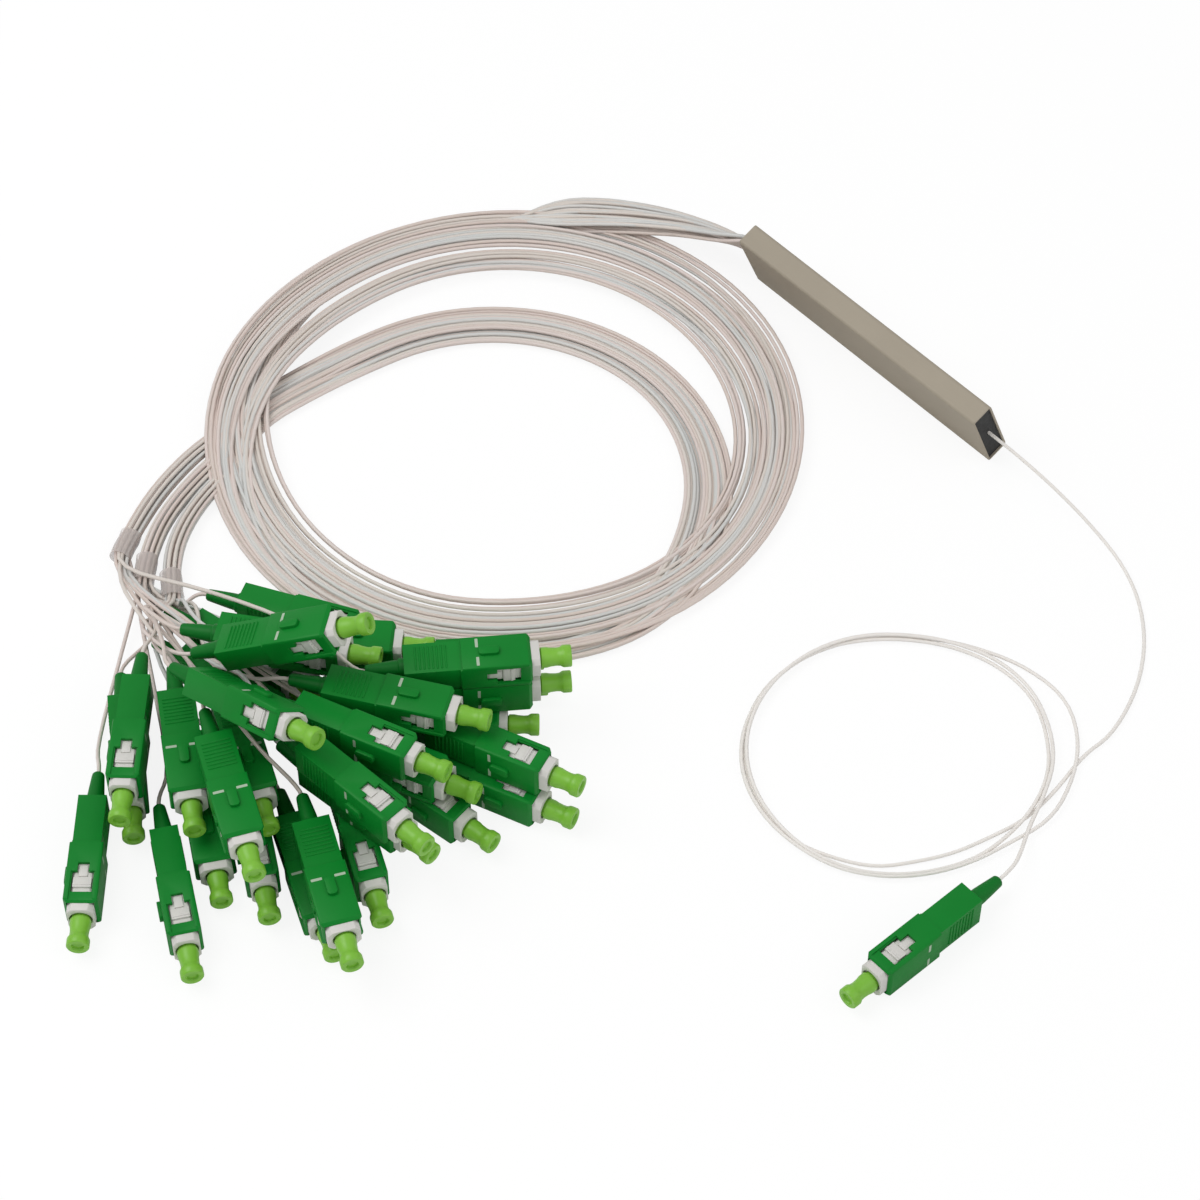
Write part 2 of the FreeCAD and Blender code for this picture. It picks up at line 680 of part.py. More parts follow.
def ferrule_spring():
    """Compression spring between the flange and the stop ring's floor."""
    wire_radius = size("spring_wire") / 2
    mean = size("spring_diameter") / 2 - wire_radius
    free = size("spring_length") - 2 * wire_radius
    helix = Part.makeHelix(free / size("spring_turns"), free, mean)
    section = FreeCAD.Vector(mean, 0, 0)
    corners = [section + FreeCAD.Vector(x * wire_radius, 0, z * wire_radius)
               for x, z in ((1, 0), (0, 1), (-1, 0), (0, -1), (1, 0))]
    wound = Part.Wire(helix).makePipeShell([Part.makePolygon(corners)], True, True)
    wound.rotate(FreeCAD.Vector(), FreeCAD.Vector(0, 1, 0), 90)
    back = size("shoulder_front") - size("shoulder_length") - size("flange_length") - size("spring_length")
    wound.translate(FreeCAD.Vector(back + wire_radius, 0, 0))
    return feature("ferrule_spring", wound)


def input_stop_ring():
    """Turned ring pressed into the frame: a spring seat in front and the boot's barrel behind."""
    collar_back = FRAME_BACK + " - ring_floor - (%s - (%s))" % (FRAME_BACK, SPRING_BACK)
    barrel_back = collar_back + " - barrel_length"
    corners = [(RING_FRONT, "ring_inner / 2"), (RING_FRONT, "frame_bore / 2"), (FRAME_BACK, "frame_bore / 2"),
               (FRAME_BACK, "ring_collar / 2"), (collar_back, "ring_collar / 2"), (collar_back, "barrel_diameter / 2"),
               (barrel_back, "barrel_diameter / 2"), (barrel_back, "ring_bore / 2"), (SPRING_BACK, "ring_bore / 2"),
               (SPRING_BACK, "ring_inner / 2")]
    return turned("input_stop_ring", corners)


BOOT_END = "(-grip_length / 2 - boot_length)"


def input_boot():
    """Rubber boot pushed on the barrel: a round collar, then a taper down to the lead."""
    barrel_back = SPRING_BACK + " - ring_floor - barrel_length"
    front = barrel_back + " + boot_cover"
    collar_end = GRIP_BACK + " - boot_collar_length"
    corners = [(front, "barrel_diameter / 2"), (front, "boot_collar / 2"), (collar_end, "boot_collar / 2"),
               (collar_end, "boot_root / 2"), (BOOT_END, "boot_tip / 2"), (BOOT_END, "lead_diameter / 2"),
               (BOOT_END + " + lead_depth", "lead_diameter / 2"), (BOOT_END + " + lead_depth", "0"),
               (barrel_back, "0"), (barrel_back, "barrel_diameter / 2")]
    return turned("input_boot", corners)


def input_dust_cap():
    """Cap pushed over the ferrule, with a flange to pull and a dimple in its end."""
    inside = "(%s - cap_inside)" % FRAME_FRONT
    end = "(%s + cap_reach)" % FRAME_FRONT
    bore_end = "ferrule_tip + cap_end_gap"
    corners = [(inside, "ferrule_diameter / 2 + cap_gap"), (inside, "cap_neck / 2"),
               (end + " - cap_flange_length", "cap_neck / 2"), (end + " - cap_flange_length", "cap_flange / 2"),
               (end, "cap_flange / 2"), (end, "cap_dimple / 2"), (end + " - cap_dimple_depth", "cap_dimple / 2"),
               (end + " - cap_dimple_depth", "0"), (bore_end, "0"), (bore_end, "ferrule_diameter / 2 + cap_gap")]
    return turned("input_dust_cap", corners)


# Output plugs

def output_plug():
    """One output plug in one solid: grip, frame nose, boot and dust cap, with flats for the round pieces."""
    sides = 6
    nose = frame_outline("output_nose", "frame_nose + 1")
    nose.setExpression("Placement.Base.x", on_sheet(GRIP_MOUTH + " + frame_nose / 2 - 0.5"))
    neck = prism("output_cap_neck", FRAME_FRONT + " - 0.5", FRAME_FRONT + " + cap_reach", "cap_neck", sides)
    rim = prism("output_cap_rim", FRAME_FRONT + " + cap_reach - cap_flange_length", FRAME_FRONT + " + cap_reach",
                "cap_flange", sides)
    boot = taper("output_boot", GRIP_BACK + " + 0.5", BOOT_END, "boot_root", "boot_tip", sides)
    whole = fuse("output_plug_whole", grip_outside("output_grip"), key_block("output_key"), nose, neck, rim, boot)
    return cut("output_plug", whole, *window_cutters("output_grip", "window_depth", notched=False))


def prism(name, low, high, diameter, sides):
    """A bar of flats along X."""
    bar = primitive("Prism", name, at=(low, 0, 0), turn=ALONG_X, Circumradius="(%s) / 2" % diameter,
                    Height="(%s) - (%s)" % (high, low))
    bar.Polygon = sides
    return bar


def taper(name, start, end, start_diameter, end_diameter, sides):
    """A tapered bar of flats along X."""
    ends = []
    for tag, at, diameter in (("root", start, start_diameter), ("tip", end, end_diameter)):
        ring = primitive("RegularPolygon", "%s_%s" % (name, tag), at=(at, 0, 0), turn=ALONG_X,
                         Circumradius="(%s) / 2" % diameter)
        ring.Polygon = sides
        ends.append(ring)
    loft = doc.addObject("Part::Loft", name)
    loft.Sections = ends
    loft.Solid = True
    loft.Ruled = True
    return loft


def plug_placement(x, y, z, heading, pitch, roll):
    """A plug's place from its grip's middle, its heading, its nose's rise and its roll."""
    turn = FreeCAD.Rotation(heading, -pitch, roll)
    return FreeCAD.Placement(FreeCAD.Vector(x, y, z), turn)


def boot_tip(placement):
    """The middle of the boot's small end, where the lead goes in."""
    return placement.multVec(FreeCAD.Vector(-size("grip_length") / 2 - size("boot_length"), 0, 0))


# Leads, coils and wraps

def flat_ring(centre, radius, half_width, half_height, start, sweep):
    """A coil's outer form: an oval section turned about the coil's middle, resting on the floor."""
    oval = Part.Ellipse(FreeCAD.Vector(), half_width, half_height).toShape()
    face = Part.Face(Part.Wire(oval))
    face.rotate(FreeCAD.Vector(), FreeCAD.Vector(1, 0, 0), 90)
    face.translate(FreeCAD.Vector(radius, 0, half_height))
    ring = face.revolve(FreeCAD.Vector(), FreeCAD.Vector(0, 0, 1), sweep)
    ring.rotate(FreeCAD.Vector(), FreeCAD.Vector(0, 0, 1), start)
    ring.translate(FreeCAD.Vector(centre[0], centre[1], 0))
    return ring


def output_coil():
    """Outer form of the wound output bundle: a flat ring and the smaller last turn that crosses it."""
    ring = flat_ring((size("coil_x"), size("coil_y")), size("coil_radius"), size("coil_half_width"),
                     size("coil_half_height"), 0, 360)
    turn = flat_ring((size("turn_x"), size("turn_y")), size("turn_radius"), size("turn_half_width"),
                     size("turn_half_height"), size("turn_start"), size("turn_sweep"))
    return feature("output_coil", ring.fuse(turn))


def input_coil():
    """Outer form of the wound input lead."""
    ring = flat_ring((size("small_coil_x"), size("small_coil_y")), size("small_coil_radius"),
                     size("small_coil_half_width"), size("small_coil_half_height"), 0, 360)
    return feature("input_coil", ring)


def end_point(reach):
    """A point on the module's axis, as far from its middle as asked."""
    return tuple(module_rest().multVec(FreeCAD.Vector(reach, 0, 0)))


def output_bundle():
    """Bundle of 32 leads from the output seal to the coil."""
    start = size("tube_length") / 2 - size("seal_recess")
    route = [end_point(-start), end_point(-start - size("bundle_out"))] + BUNDLE_ROUTE
    return feature("output_bundle", cord_tube(route, size("bundle_diameter"), "output bundle"))


def input_lead():
    """Input lead from its seal to its coil."""
    face = size("tube_length") / 2 - size("seal_recess")
    route = [end_point(face - size("lead_depth")), end_point(face + size("lead_out"))] + INPUT_ROUTE
    return feature("input_lead", cord_tube(route, size("lead_diameter"), "input lead"))


def input_tail(plug):
    """Input lead from its coil into the boot."""
    inside = plug.multVec(FreeCAD.Vector(-size("grip_length") / 2 - size("boot_length") + size("lead_depth"), 0, 0))
    route = INPUT_TAIL_ROUTE + [tuple(inside)]
    return feature("input_tail", cord_tube(route, size("lead_diameter"), "input tail"))


def output_trunks():
    """The three wrapped parts of the bundle after the coil."""
    tubes = [cord_tube(route, size("trunk_diameter"), "trunk %d" % number) for number, route in TRUNK_ROUTES.items()]
    return feature("output_trunks", Part.makeCompound(tubes))


def tape_wraps():
    """Clear tape wound round the end of each trunk."""
    wraps = []
    for route in TRUNK_ROUTES.values():
        end = FreeCAD.Vector(*route[-1])
        back = FreeCAD.Vector(*route[-2]) - end
        back.normalize()
        start = end + back * 1.0
        outer = Part.makeCylinder(size("trunk_diameter") / 2 + size("tape_wall"), size("tape_length") * 0.6, start, back)
        inner = Part.makeCylinder(size("trunk_diameter") / 2, size("tape_length") * 0.6, start, back)
        wraps.append(outer.cut(inner))
    return feature("tape_wraps", Part.makeCompound(wraps))




# Tails: each runs from its slot in a trunk to its boot by two points that keep it clear of every plug

def plug_spans():
    """The boxes a plug fills along its own axes: grip, key, nose, cap and boot."""
    half = size("grip_length") / 2
    nose = half + size("frame_nose")
    end = nose + size("cap_reach")
    wide = size("grip_width") / 2
    tall = size("grip_height") / 2
    key = half - size("key_back")
    flange = size("cap_flange") / 2
    root = size("boot_root") / 2
    return [((-half, half), (-wide, wide), (-tall, tall)),
            ((key, key + size("key_length")), (-size("key_width") / 2, size("key_width") / 2),
             (tall, tall + size("key_height"))),
            ((half, nose), (-size("frame_width") / 2, size("frame_width") / 2),
             (-size("frame_height") / 2, size("frame_height") / 2)),
            ((nose, end), (-flange, flange), (-flange, flange)),
            ((-half - size("boot_length"), -half), (-root, root), (-root, root))]


def steps_between(low, high, step):
    """Even values from low to high, no further apart than the step."""
    count = max(1, math.ceil((high - low) / step))
    return [low + (high - low) * number / count for number in range(count + 1)]


def taken_cells(placements, margin):
    """Every whole-millimetre cell that a plug reaches."""
    taken = set()
    for placement in placements.values():
        for spans in plug_spans():
            rows = [steps_between(low - margin, high + margin, 0.8) for low, high in spans]
            for x in rows[0]:
                for y in rows[1]:
                    for z in rows[2]:
                        spot = placement.multVec(FreeCAD.Vector(x, y, z))
                        taken.add((round(spot.x), round(spot.y), round(spot.z)))
    return taken


def is_open(start, end, taken):
    """Whether a straight run misses every taken cell."""
    count = math.ceil(math.dist(start, end) / 0.8) + 1
    for number in range(count + 1):
        share = number / count
        if tuple(round(a + (b - a) * share) for a, b in zip(start, end)) in taken:
            return False
    return True


def least_gap(corners, placements):
    """The least distance from a route to any plug, for the plugs near it."""
    least = 99.0
    for placement in placements.values():
        inverse = placement.inverse()
        for start, end in zip(corners, corners[1:]):
            for share in steps_between(0, 1, 0.5 / max(0.5, math.dist(start, end))):
                spot = FreeCAD.Vector(*[a + (b - a) * share for a, b in zip(start, end)])
                if (spot - placement.Base).Length > size("grip_length"):
                    continue
                local = tuple(inverse.multVec(spot))
                for spans in plug_spans():
                    beyond = [max(low - value, value - high) for value, (low, high) in zip(local, spans)]
                    gap = math.hypot(*[max(value, 0) for value in beyond]) + min(max(beyond), 0)
                    least = min(least, gap)
    return least


def softened(corners):
    """Points on the smooth way that cuts each corner of a route from middle to middle of its runs."""
    spots = [corners[0]]
    for before, corner, after in zip(corners, corners[1:], corners[2:]):
        first = [(a + b) / 2 for a, b in zip(before, corner)]
        last = [(a + b) / 2 for a, b in zip(corner, after)]
        for share in (0, 0.25, 0.5, 0.75, 1):
            spots.append(tuple(a * (1 - share) ** 2 + 2 * b * share * (1 - share) + c * share ** 2
                               for a, b, c in zip(first, corner, last)))
    return spots + [corners[-1]]


def bends_only(corners):
    """The corners of a route that turn it."""
    kept = [corners[0]]
    for corner, after in zip(corners[1:], corners[2:]):
        behind = FreeCAD.Vector(*corner) - FreeCAD.Vector(*kept[-1])
        ahead = FreeCAD.Vector(*after) - FreeCAD.Vector(*corner)
        if math.degrees(behind.getAngle(ahead)) > 1:
            kept.append(corner)
    return kept + [corners[-1]]


def tail_route(start, placement, placements, taken):
    """The shortest clear route of two free points from a trunk's slot to a boot."""
    tip = tuple(boot_tip(placement))
    back = tuple(placement.Rotation.multVec(FreeCAD.Vector(-1, 0, 0)))
    radius = size("lead_diameter") / 2
    near = tuple(a + 2.4 * b for a, b in zip(tip, back))
    seconds = []
    for away in (5, 7, 10):
        for lift in (0, 2, 4, 7, 11, 15, -2, -4):
            for shift in (0, -2, 2, -4, 4, -7, 7):
                point = (tip[0] + back[0] * away - back[1] * shift, tip[1] + back[1] * away + back[0] * shift,
                         tip[2] + back[2] * away + lift)
                if point[2] > radius and is_open(near, point, taken):
                    seconds.append(point)
    routes = []
    for second in seconds:
        along = [b - a for a, b in zip(start, second)]
        flat = math.hypot(along[0], along[1])
        for share in (0.3, 0.5, 0.7, 0.85):
            for lift in (0, 3, 6, 10, 14, 19, 24, 29):
                for shift in (0, -4, 4, -9, 9, -15, 15, -22, 22):
                    first = (start[0] + along[0] * share - along[1] / flat * shift,
                             start[1] + along[1] * share + along[0] / flat * shift,
                             max(radius + 0.2, start[2] + along[2] * share + lift))
                    routes.append((math.dist(start, first) + math.dist(first, second), first, second))
    for length, first, second in sorted(routes):
        if is_open(start, first, taken) and is_open(first, second, taken):
            corners = [start, first, second, near]
            clear = radius + 0.05
            if least_gap(corners, placements) > clear and least_gap(softened(corners), placements) > clear:
                return bends_only(corners + [tip])
    return None


def trunk_slots():
    """Where the leads leave each trunk's end: three in its middle and eight round them."""
    pitch = size("trunk_diameter") / 2 - size("lead_diameter") / 2
    slots = []
    for route in TRUNK_ROUTES.values():
        end = FreeCAD.Vector(*route[-1])
        ahead = end - FreeCAD.Vector(*route[-2])
        turn = FreeCAD.Rotation(FreeCAD.Vector(1, 0, 0), ahead)
        for count, ring in ((3, 0.38), (8, 1.0)):
            for number in range(count):
                angle = 2 * math.pi * (number + 0.5) / count
                spot = FreeCAD.Vector(0, pitch * ring * math.cos(angle), pitch * ring * math.sin(angle))
                slots.append(end + turn.multVec(spot))
    return slots


def tail_routes(placements):
    """A route for each output plug, the nearest boots first, each from the nearest free slot."""
    taken = taken_cells(placements, 0)
    slots = trunk_slots()
    routes = {}
    middle = FreeCAD.Vector(*TRUNK_ROUTES[2][-1])
    for number in sorted(placements, key=lambda key: (boot_tip(placements[key]) - middle).Length):
        tip = boot_tip(placements[number])
        slots.sort(key=lambda slot: (slot - tip).Length)
        slot = slots.pop(0)
        route = tail_route(tuple(slot), placements[number], placements, taken)
        if route is None:
            print("no clear route for the lead of plug %d" % number)
            continue
        routes[number] = route
    return routes


def output_tails(placements):
    """The loose ends of the 32 leads, each from its trunk to its boot."""
    tubes = [cord_tube(route, size("lead_diameter"), "tail %d" % number)
             for number, route in tail_routes(placements).items()]
    return feature("output_tails", Part.makeCompound(tubes))


# Assembly

def seated(name, source, placement):
    """A node: its source piece, put where it belongs in the part's frame."""
    node = doc.addObject("Part::Compound", name)
    node.Links = [source]
    node.Label = name
    node.Placement = placement
    return node


def build():
    """Every node of the part, by name."""
    nodes = {}
    rest = module_rest()
    for make in (module_tube, input_end_seal, output_end_seal, inner_case, case_boots, case_pads, plc_chip,
                 input_fibre_array, output_fibre_array, input_bare_fibre, output_ribbon):
        piece = make()
        piece.Label = make.__name__ + "_piece"
        nodes[make.__name__] = (piece, rest)
    plug = plug_placement(size("plug_x"), size("plug_y"), size("grip_width") / 2, size("plug_heading"), 0, 90)
    for make in (input_grip, input_plug_frame, input_ferrule, ferrule_flange, ferrule_spring, input_stop_ring,
                 input_boot, input_dust_cap):
        piece = make()
        piece.Label = make.__name__ + "_piece"
        nodes[make.__name__] = (piece, plug)
    loose = {"input_lead": input_lead(), "input_coil": input_coil(), "input_tail": input_tail(plug),
             "output_bundle": output_bundle(), "output_coil": output_coil(), "output_trunks": output_trunks(),
             "tape_wraps": tape_wraps()}
    placements = {number: plug_placement(*place) for number, place in HEAP.items()}
    loose["output_tails"] = output_tails(placements)
    template = output_plug()
    doc.recompute()
    for number, placement in placements.items():
        name = "output_connector_%02d" % number
        loose[name] = feature(name, template.Shape)
        loose[name].Placement = placement
    finished = {}
    for name, (piece, placement) in nodes.items():
        finished[name] = seated(name, piece, placement)
    finished.update(loose)
    return finished


def check(nodes):
    """Stops at the first object or shape that isn't sound."""
    for item in doc.Objects:
        if "Invalid" in item.State or "Error" in item.State:
            raise ValueError("%s: %s" % (item.Name, item.State))
    for name, node in nodes.items():
        if node.Shape.isNull() or not node.Shape.isValid() or not node.Shape.Solids:
            raise ValueError("%s has no sound shape" % name)


def write(nodes):
    """One STEP file for each node."""
    os.makedirs("parts", exist_ok=True)
    for name, node in nodes.items():
        shape = node.Shape
        if len(shape.Solids) == 1:
            shape = shape.Solids[0]
        shape.exportStep("parts/%s.step" % name)


doc_nodes = build()
doc.recompute()
check(doc_nodes)
write(doc_nodes)
print("%d nodes" % len(doc_nodes))
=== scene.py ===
"""Looks of a 1 by 32 fibre splitter: a flat steel module, its coiled leads and their push-pull plugs.

Lengths are in millimetres up to the point where a piece is placed, and in metres after it.
"""
from __future__ import annotations

import json
import logging
import math
from collections.abc import Callable
from dataclasses import dataclass, field
from enum import Enum
from itertools import product

import bpy
from mathutils import Matrix, Vector

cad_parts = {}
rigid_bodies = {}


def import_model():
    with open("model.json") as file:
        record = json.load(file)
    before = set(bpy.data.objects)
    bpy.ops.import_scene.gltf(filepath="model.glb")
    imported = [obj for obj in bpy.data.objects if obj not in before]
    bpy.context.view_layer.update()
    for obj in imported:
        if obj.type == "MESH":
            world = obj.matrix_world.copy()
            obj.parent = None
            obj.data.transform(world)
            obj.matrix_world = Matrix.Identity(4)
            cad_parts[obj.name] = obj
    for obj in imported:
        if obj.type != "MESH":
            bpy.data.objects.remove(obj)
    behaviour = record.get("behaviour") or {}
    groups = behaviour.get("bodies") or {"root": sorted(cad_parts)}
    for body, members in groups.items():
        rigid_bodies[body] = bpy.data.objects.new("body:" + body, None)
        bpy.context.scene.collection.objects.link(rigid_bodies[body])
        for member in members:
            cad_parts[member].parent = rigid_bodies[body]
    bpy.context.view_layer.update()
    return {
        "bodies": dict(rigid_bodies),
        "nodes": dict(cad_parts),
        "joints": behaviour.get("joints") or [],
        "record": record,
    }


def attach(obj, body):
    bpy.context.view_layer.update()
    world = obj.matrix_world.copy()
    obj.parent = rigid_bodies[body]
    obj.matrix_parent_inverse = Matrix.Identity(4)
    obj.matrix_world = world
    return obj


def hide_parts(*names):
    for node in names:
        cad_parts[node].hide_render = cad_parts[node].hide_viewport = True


LOG = logging.getLogger("fibre_splitter")
MM = 0.001
EDGE = 0.12  # rounding of a moulded edge
OVER = 1.0  # how far a cutting block reaches past the face it cuts
SUNK = 0.3  # how deep the key goes into its face
Point = tuple[float, float, float]
Span = tuple[float, float]
Piece = bpy.types.Object


# Finishes

class Tint(Enum):
    """Base colours, as seen, from 0 to 255."""

    GRIP = (6, 138, 46)
    GRIP_DEEP = (2, 120, 36)
    BOOT = (4, 124, 40)
    BOOT_DEEP = (0, 104, 30)
    FRAME = (228, 226, 222)
    FRAME_DEEP = (212, 209, 204)
    CAP = (138, 202, 66)
    CAP_DEEP = (120, 186, 52)
    DASH = (176, 196, 172)
    STEEL = (174, 164, 147)
    STEEL_DEEP = (163, 153, 137)
    POTTING = (38, 38, 38)
    POTTING_DEEP = (24, 24, 24)
    JACKET_WHITE = (230, 223, 217)
    JACKET_ROSE = (227, 209, 203)
    JACKET_ICE = (208, 214, 214)
    JACKET_SAND = (221, 211, 201)
    JACKET_PURE = (247, 242, 237)
    TAPE = (222, 212, 208)
    CERAMIC = (236, 236, 232)
    SILICA = (205, 216, 222)
    SPRING = (150, 150, 150)
    BRASS = (178, 158, 108)


def linear(tint: Tint) -> tuple[float, float, float, float]:
    """Turns a colour as seen into the renderer's linear values.

    Args:
        tint: The colour from 0 to 255.

    Returns:
        Red, green, blue and alpha, from 0 to 1.
    """
    parts = [value / 255 for value in tint.value]
    flat = [value / 12.92 if value <= 0.04045 else ((value + 0.055) / 1.055) ** 2.4 for value in parts]
    return flat[0], flat[1], flat[2], 1.0


def set_inputs(node: bpy.types.Node, values: dict[str, object]) -> None:
    """Sets the constants on a node's sockets."""
    for label, value in values.items():
        node.inputs[label].default_value = value


class SurfaceEffects:
    """Shader node groups that several finishes share, each built once."""

    def __init__(self) -> None:
        """Builds the groups."""
        self.tone = self._tone_drift()
        self.grain = self._grain("fine_grain", 3000.0, 2.0)
        self.brush = self._grain("brush_lines", 2000.0, 4.0, (0.02, 1.0, 1.0))

    @staticmethod
    def _group(name: str, inputs: list[tuple[str, str, object]], outputs: list[tuple[str, str]]) -> tuple:
        """Starts a group with its sockets.

        Args:
            name: The group's name.
            inputs: Each input's name, socket type and first value.
            outputs: Each output's name and socket type.

        Returns:
            The group, its input node and its output node.
        """
        group = bpy.data.node_groups.new(name, "ShaderNodeTree")
        for label, kind, value in inputs:
            group.interface.new_socket(name=label, in_out="INPUT", socket_type=kind).default_value = value
        for label, kind in outputs:
            group.interface.new_socket(name=label, in_out="OUTPUT", socket_type=kind)
        return group, group.nodes.new("NodeGroupInput"), group.nodes.new("NodeGroupOutput")

    def _tone_drift(self) -> bpy.types.NodeTree:
        """Makes the slow drift between two near colours that moulded and drawn parts show.

        Returns:
            The group.
        """
        group, taken, given = self._group(
            "tone_drift",
            [("Base", "NodeSocketColor", (1, 1, 1, 1)), ("Deep", "NodeSocketColor", (0, 0, 0, 1)),
             ("Scale", "NodeSocketFloat", 100.0)],
            [("Colour", "NodeSocketColor")])
        place = group.nodes.new("ShaderNodeTexCoord")
        noise = group.nodes.new("ShaderNodeTexNoise")
        noise.inputs["Detail"].default_value = 3.0
        mix = group.nodes.new("ShaderNodeMix")
        mix.data_type = "RGBA"
        link = group.links.new
        link(place.outputs["Object"], noise.inputs["Vector"])
        link(taken.outputs["Scale"], noise.inputs["Scale"])
        link(noise.outputs["Fac"], mix.inputs[0])
        link(taken.outputs["Base"], mix.inputs[6])
        link(taken.outputs["Deep"], mix.inputs[7])
        link(mix.outputs[2], given.inputs["Colour"])
        return group

    def _grain(self, name: str, scale: float, detail: float, stretch: Point | None = None) -> bpy.types.NodeTree:
        """Makes the grain of a mould face, or the long fine lines that brushing leaves.

        Args:
            name: The group's name.
            scale: The grain's first scale.
            detail: The noise's detail.
            stretch: The scale along each axis, for lines.

        Returns:
            The group, which gives a height and a roughness.
        """
        group, taken, given = self._group(
            name,
            [("Scale", "NodeSocketFloat", scale), ("Smooth", "NodeSocketFloat", 0.3),
             ("Rough", "NodeSocketFloat", 0.5)],
            [("Height", "NodeSocketFloat"), ("Roughness", "NodeSocketFloat")])
        link = group.links.new
        vector = group.nodes.new("ShaderNodeTexCoord").outputs["Object"]
        if stretch:
            mapping = group.nodes.new("ShaderNodeMapping")
            mapping.inputs["Scale"].default_value = stretch
            link(vector, mapping.inputs["Vector"])
            vector = mapping.outputs["Vector"]
        noise = group.nodes.new("ShaderNodeTexNoise")
        noise.inputs["Detail"].default_value = detail
        spread = group.nodes.new("ShaderNodeMapRange")
        link(vector, noise.inputs["Vector"])
        link(taken.outputs["Scale"], noise.inputs["Scale"])
        link(noise.outputs["Fac"], spread.inputs["Value"])
        link(taken.outputs["Smooth"], spread.inputs["To Min"])
        link(taken.outputs["Rough"], spread.inputs["To Max"])
        link(noise.outputs["Fac"], given.inputs["Height"])
        link(spread.outputs["Result"], given.inputs["Roughness"])
        return group


@dataclass(frozen=True)
class Finish:
    """A finish with a drifting tone and a grain in its gloss and surface."""

    name: str
    base: Tint
    deep: Tint
    tone_scale: float = 60.0
    grain_scale: float = 2500.0
    smooth: float = 0.35
    rough: float = 0.5
    bump: float = 0.15
    bump_mm: float = 0.02
    metallic: float = 0.0
    coat: float = 0.0
    subsurface: float = 0.0
    alpha: float = 1.0
    specular: float = 0.5
    brushed: bool = False

    def material(self, effects: SurfaceEffects) -> bpy.types.Material:
        """Builds the material, or gives the one built before.

        Args:
            effects: The shared node groups.

        Returns:
            The material.
        """
        label = self.name + "_look"
        made = bpy.data.materials.get(label)
        if made:
            return made
        made = bpy.data.materials.new(label)
        made.use_nodes = True
        tree = made.node_tree
        shader = tree.nodes["Principled BSDF"]
        set_inputs(shader, {"Metallic": self.metallic, "Coat Weight": self.coat, "Alpha": self.alpha,
                            "Specular IOR Level": self.specular})
        if self.subsurface:
            set_inputs(shader, {"Subsurface Weight": self.subsurface, "Subsurface Radius": (0.6, 0.6, 0.6),
                                "Subsurface Scale": 0.6 * MM})
        tone = tree.nodes.new("ShaderNodeGroup")
        tone.node_tree = effects.tone
        set_inputs(tone, {"Base": linear(self.base), "Deep": linear(self.deep), "Scale": self.tone_scale})
        grain = tree.nodes.new("ShaderNodeGroup")
        grain.node_tree = effects.brush if self.brushed else effects.grain
        set_inputs(grain, {"Scale": self.grain_scale, "Smooth": self.smooth, "Rough": self.rough})
        bump = tree.nodes.new("ShaderNodeBump")
        set_inputs(bump, {"Strength": self.bump, "Distance": self.bump_mm * MM})
        link = tree.links.new
        link(tone.outputs["Colour"], shader.inputs["Base Color"])
        link(grain.outputs["Roughness"], shader.inputs["Roughness"])
        link(grain.outputs["Height"], bump.inputs["Height"])
        link(bump.outputs["Normal"], shader.inputs["Normal"])
        return made


GRIP = Finish("green_grip", Tint.GRIP, Tint.GRIP_DEEP, smooth=0.38, rough=0.52, specular=0.22)
BOOT = Finish("green_boot", Tint.BOOT, Tint.BOOT_DEEP, smooth=0.4, rough=0.55, specular=0.22)
FRAME = Finish("white_frame", Tint.FRAME, Tint.FRAME_DEEP, smooth=0.35, rough=0.5, subsurface=0.15)
CAP = Finish("lime_cap", Tint.CAP, Tint.CAP_DEEP, smooth=0.3, rough=0.42, subsurface=0.2)
DASH = Finish("pale_dash", Tint.DASH, Tint.DASH, smooth=0.5, rough=0.6)
STEEL = Finish("steel_tube", Tint.STEEL, Tint.STEEL_DEEP, grain_scale=9000.0, smooth=0.5, rough=0.7, bump=0.25,
               metallic=0.12, brushed=True)
POTTING = Finish("potting", Tint.POTTING, Tint.POTTING_DEEP, grain_scale=900.0, smooth=0.45, rough=0.75, bump=0.5,
                 bump_mm=0.1)
TAPE = Finish("clear_tape", Tint.TAPE, Tint.TAPE, smooth=0.12, rough=0.3, coat=0.3, alpha=0.38)
CERAMIC = Finish("ceramic", Tint.CERAMIC, Tint.CERAMIC, smooth=0.1, rough=0.2, coat=0.3)
SILICA = Finish("silica", Tint.SILICA, Tint.SILICA, smooth=0.05, rough=0.15, coat=0.3)
SPRING = Finish("spring_steel", Tint.SPRING, Tint.SPRING, smooth=0.25, rough=0.4, metallic=1.0)
BRASS = Finish("stop_ring_metal", Tint.BRASS, Tint.BRASS, smooth=0.25, rough=0.4, metallic=1.0)
JACKET = {"smooth": 0.3, "rough": 0.42, "bump": 0.05, "subsurface": 0.2}
INPUT_JACKET = Finish("jacket_pure", Tint.JACKET_PURE, Tint.JACKET_PURE, **JACKET)
JACKETS = [Finish(name, base, deep, tone_scale=25.0, **JACKET) for name, base, deep in (
    ("jacket_white", Tint.JACKET_WHITE, Tint.JACKET_SAND), ("jacket_rose", Tint.JACKET_ROSE, Tint.JACKET_WHITE),
    ("jacket_ice", Tint.JACKET_ICE, Tint.JACKET_WHITE), ("jacket_sand", Tint.JACKET_SAND, Tint.JACKET_ROSE))]


def dress(piece: Piece, finish: Finish, effects: SurfaceEffects) -> None:
    """Gives a piece one finish in place of any it had.

    Args:
        piece: The mesh object.
        finish: Its finish.
        effects: The shared node groups.
    """
    piece.data.materials.clear()
    piece.data.materials.append(finish.material(effects))


# Modelling tools

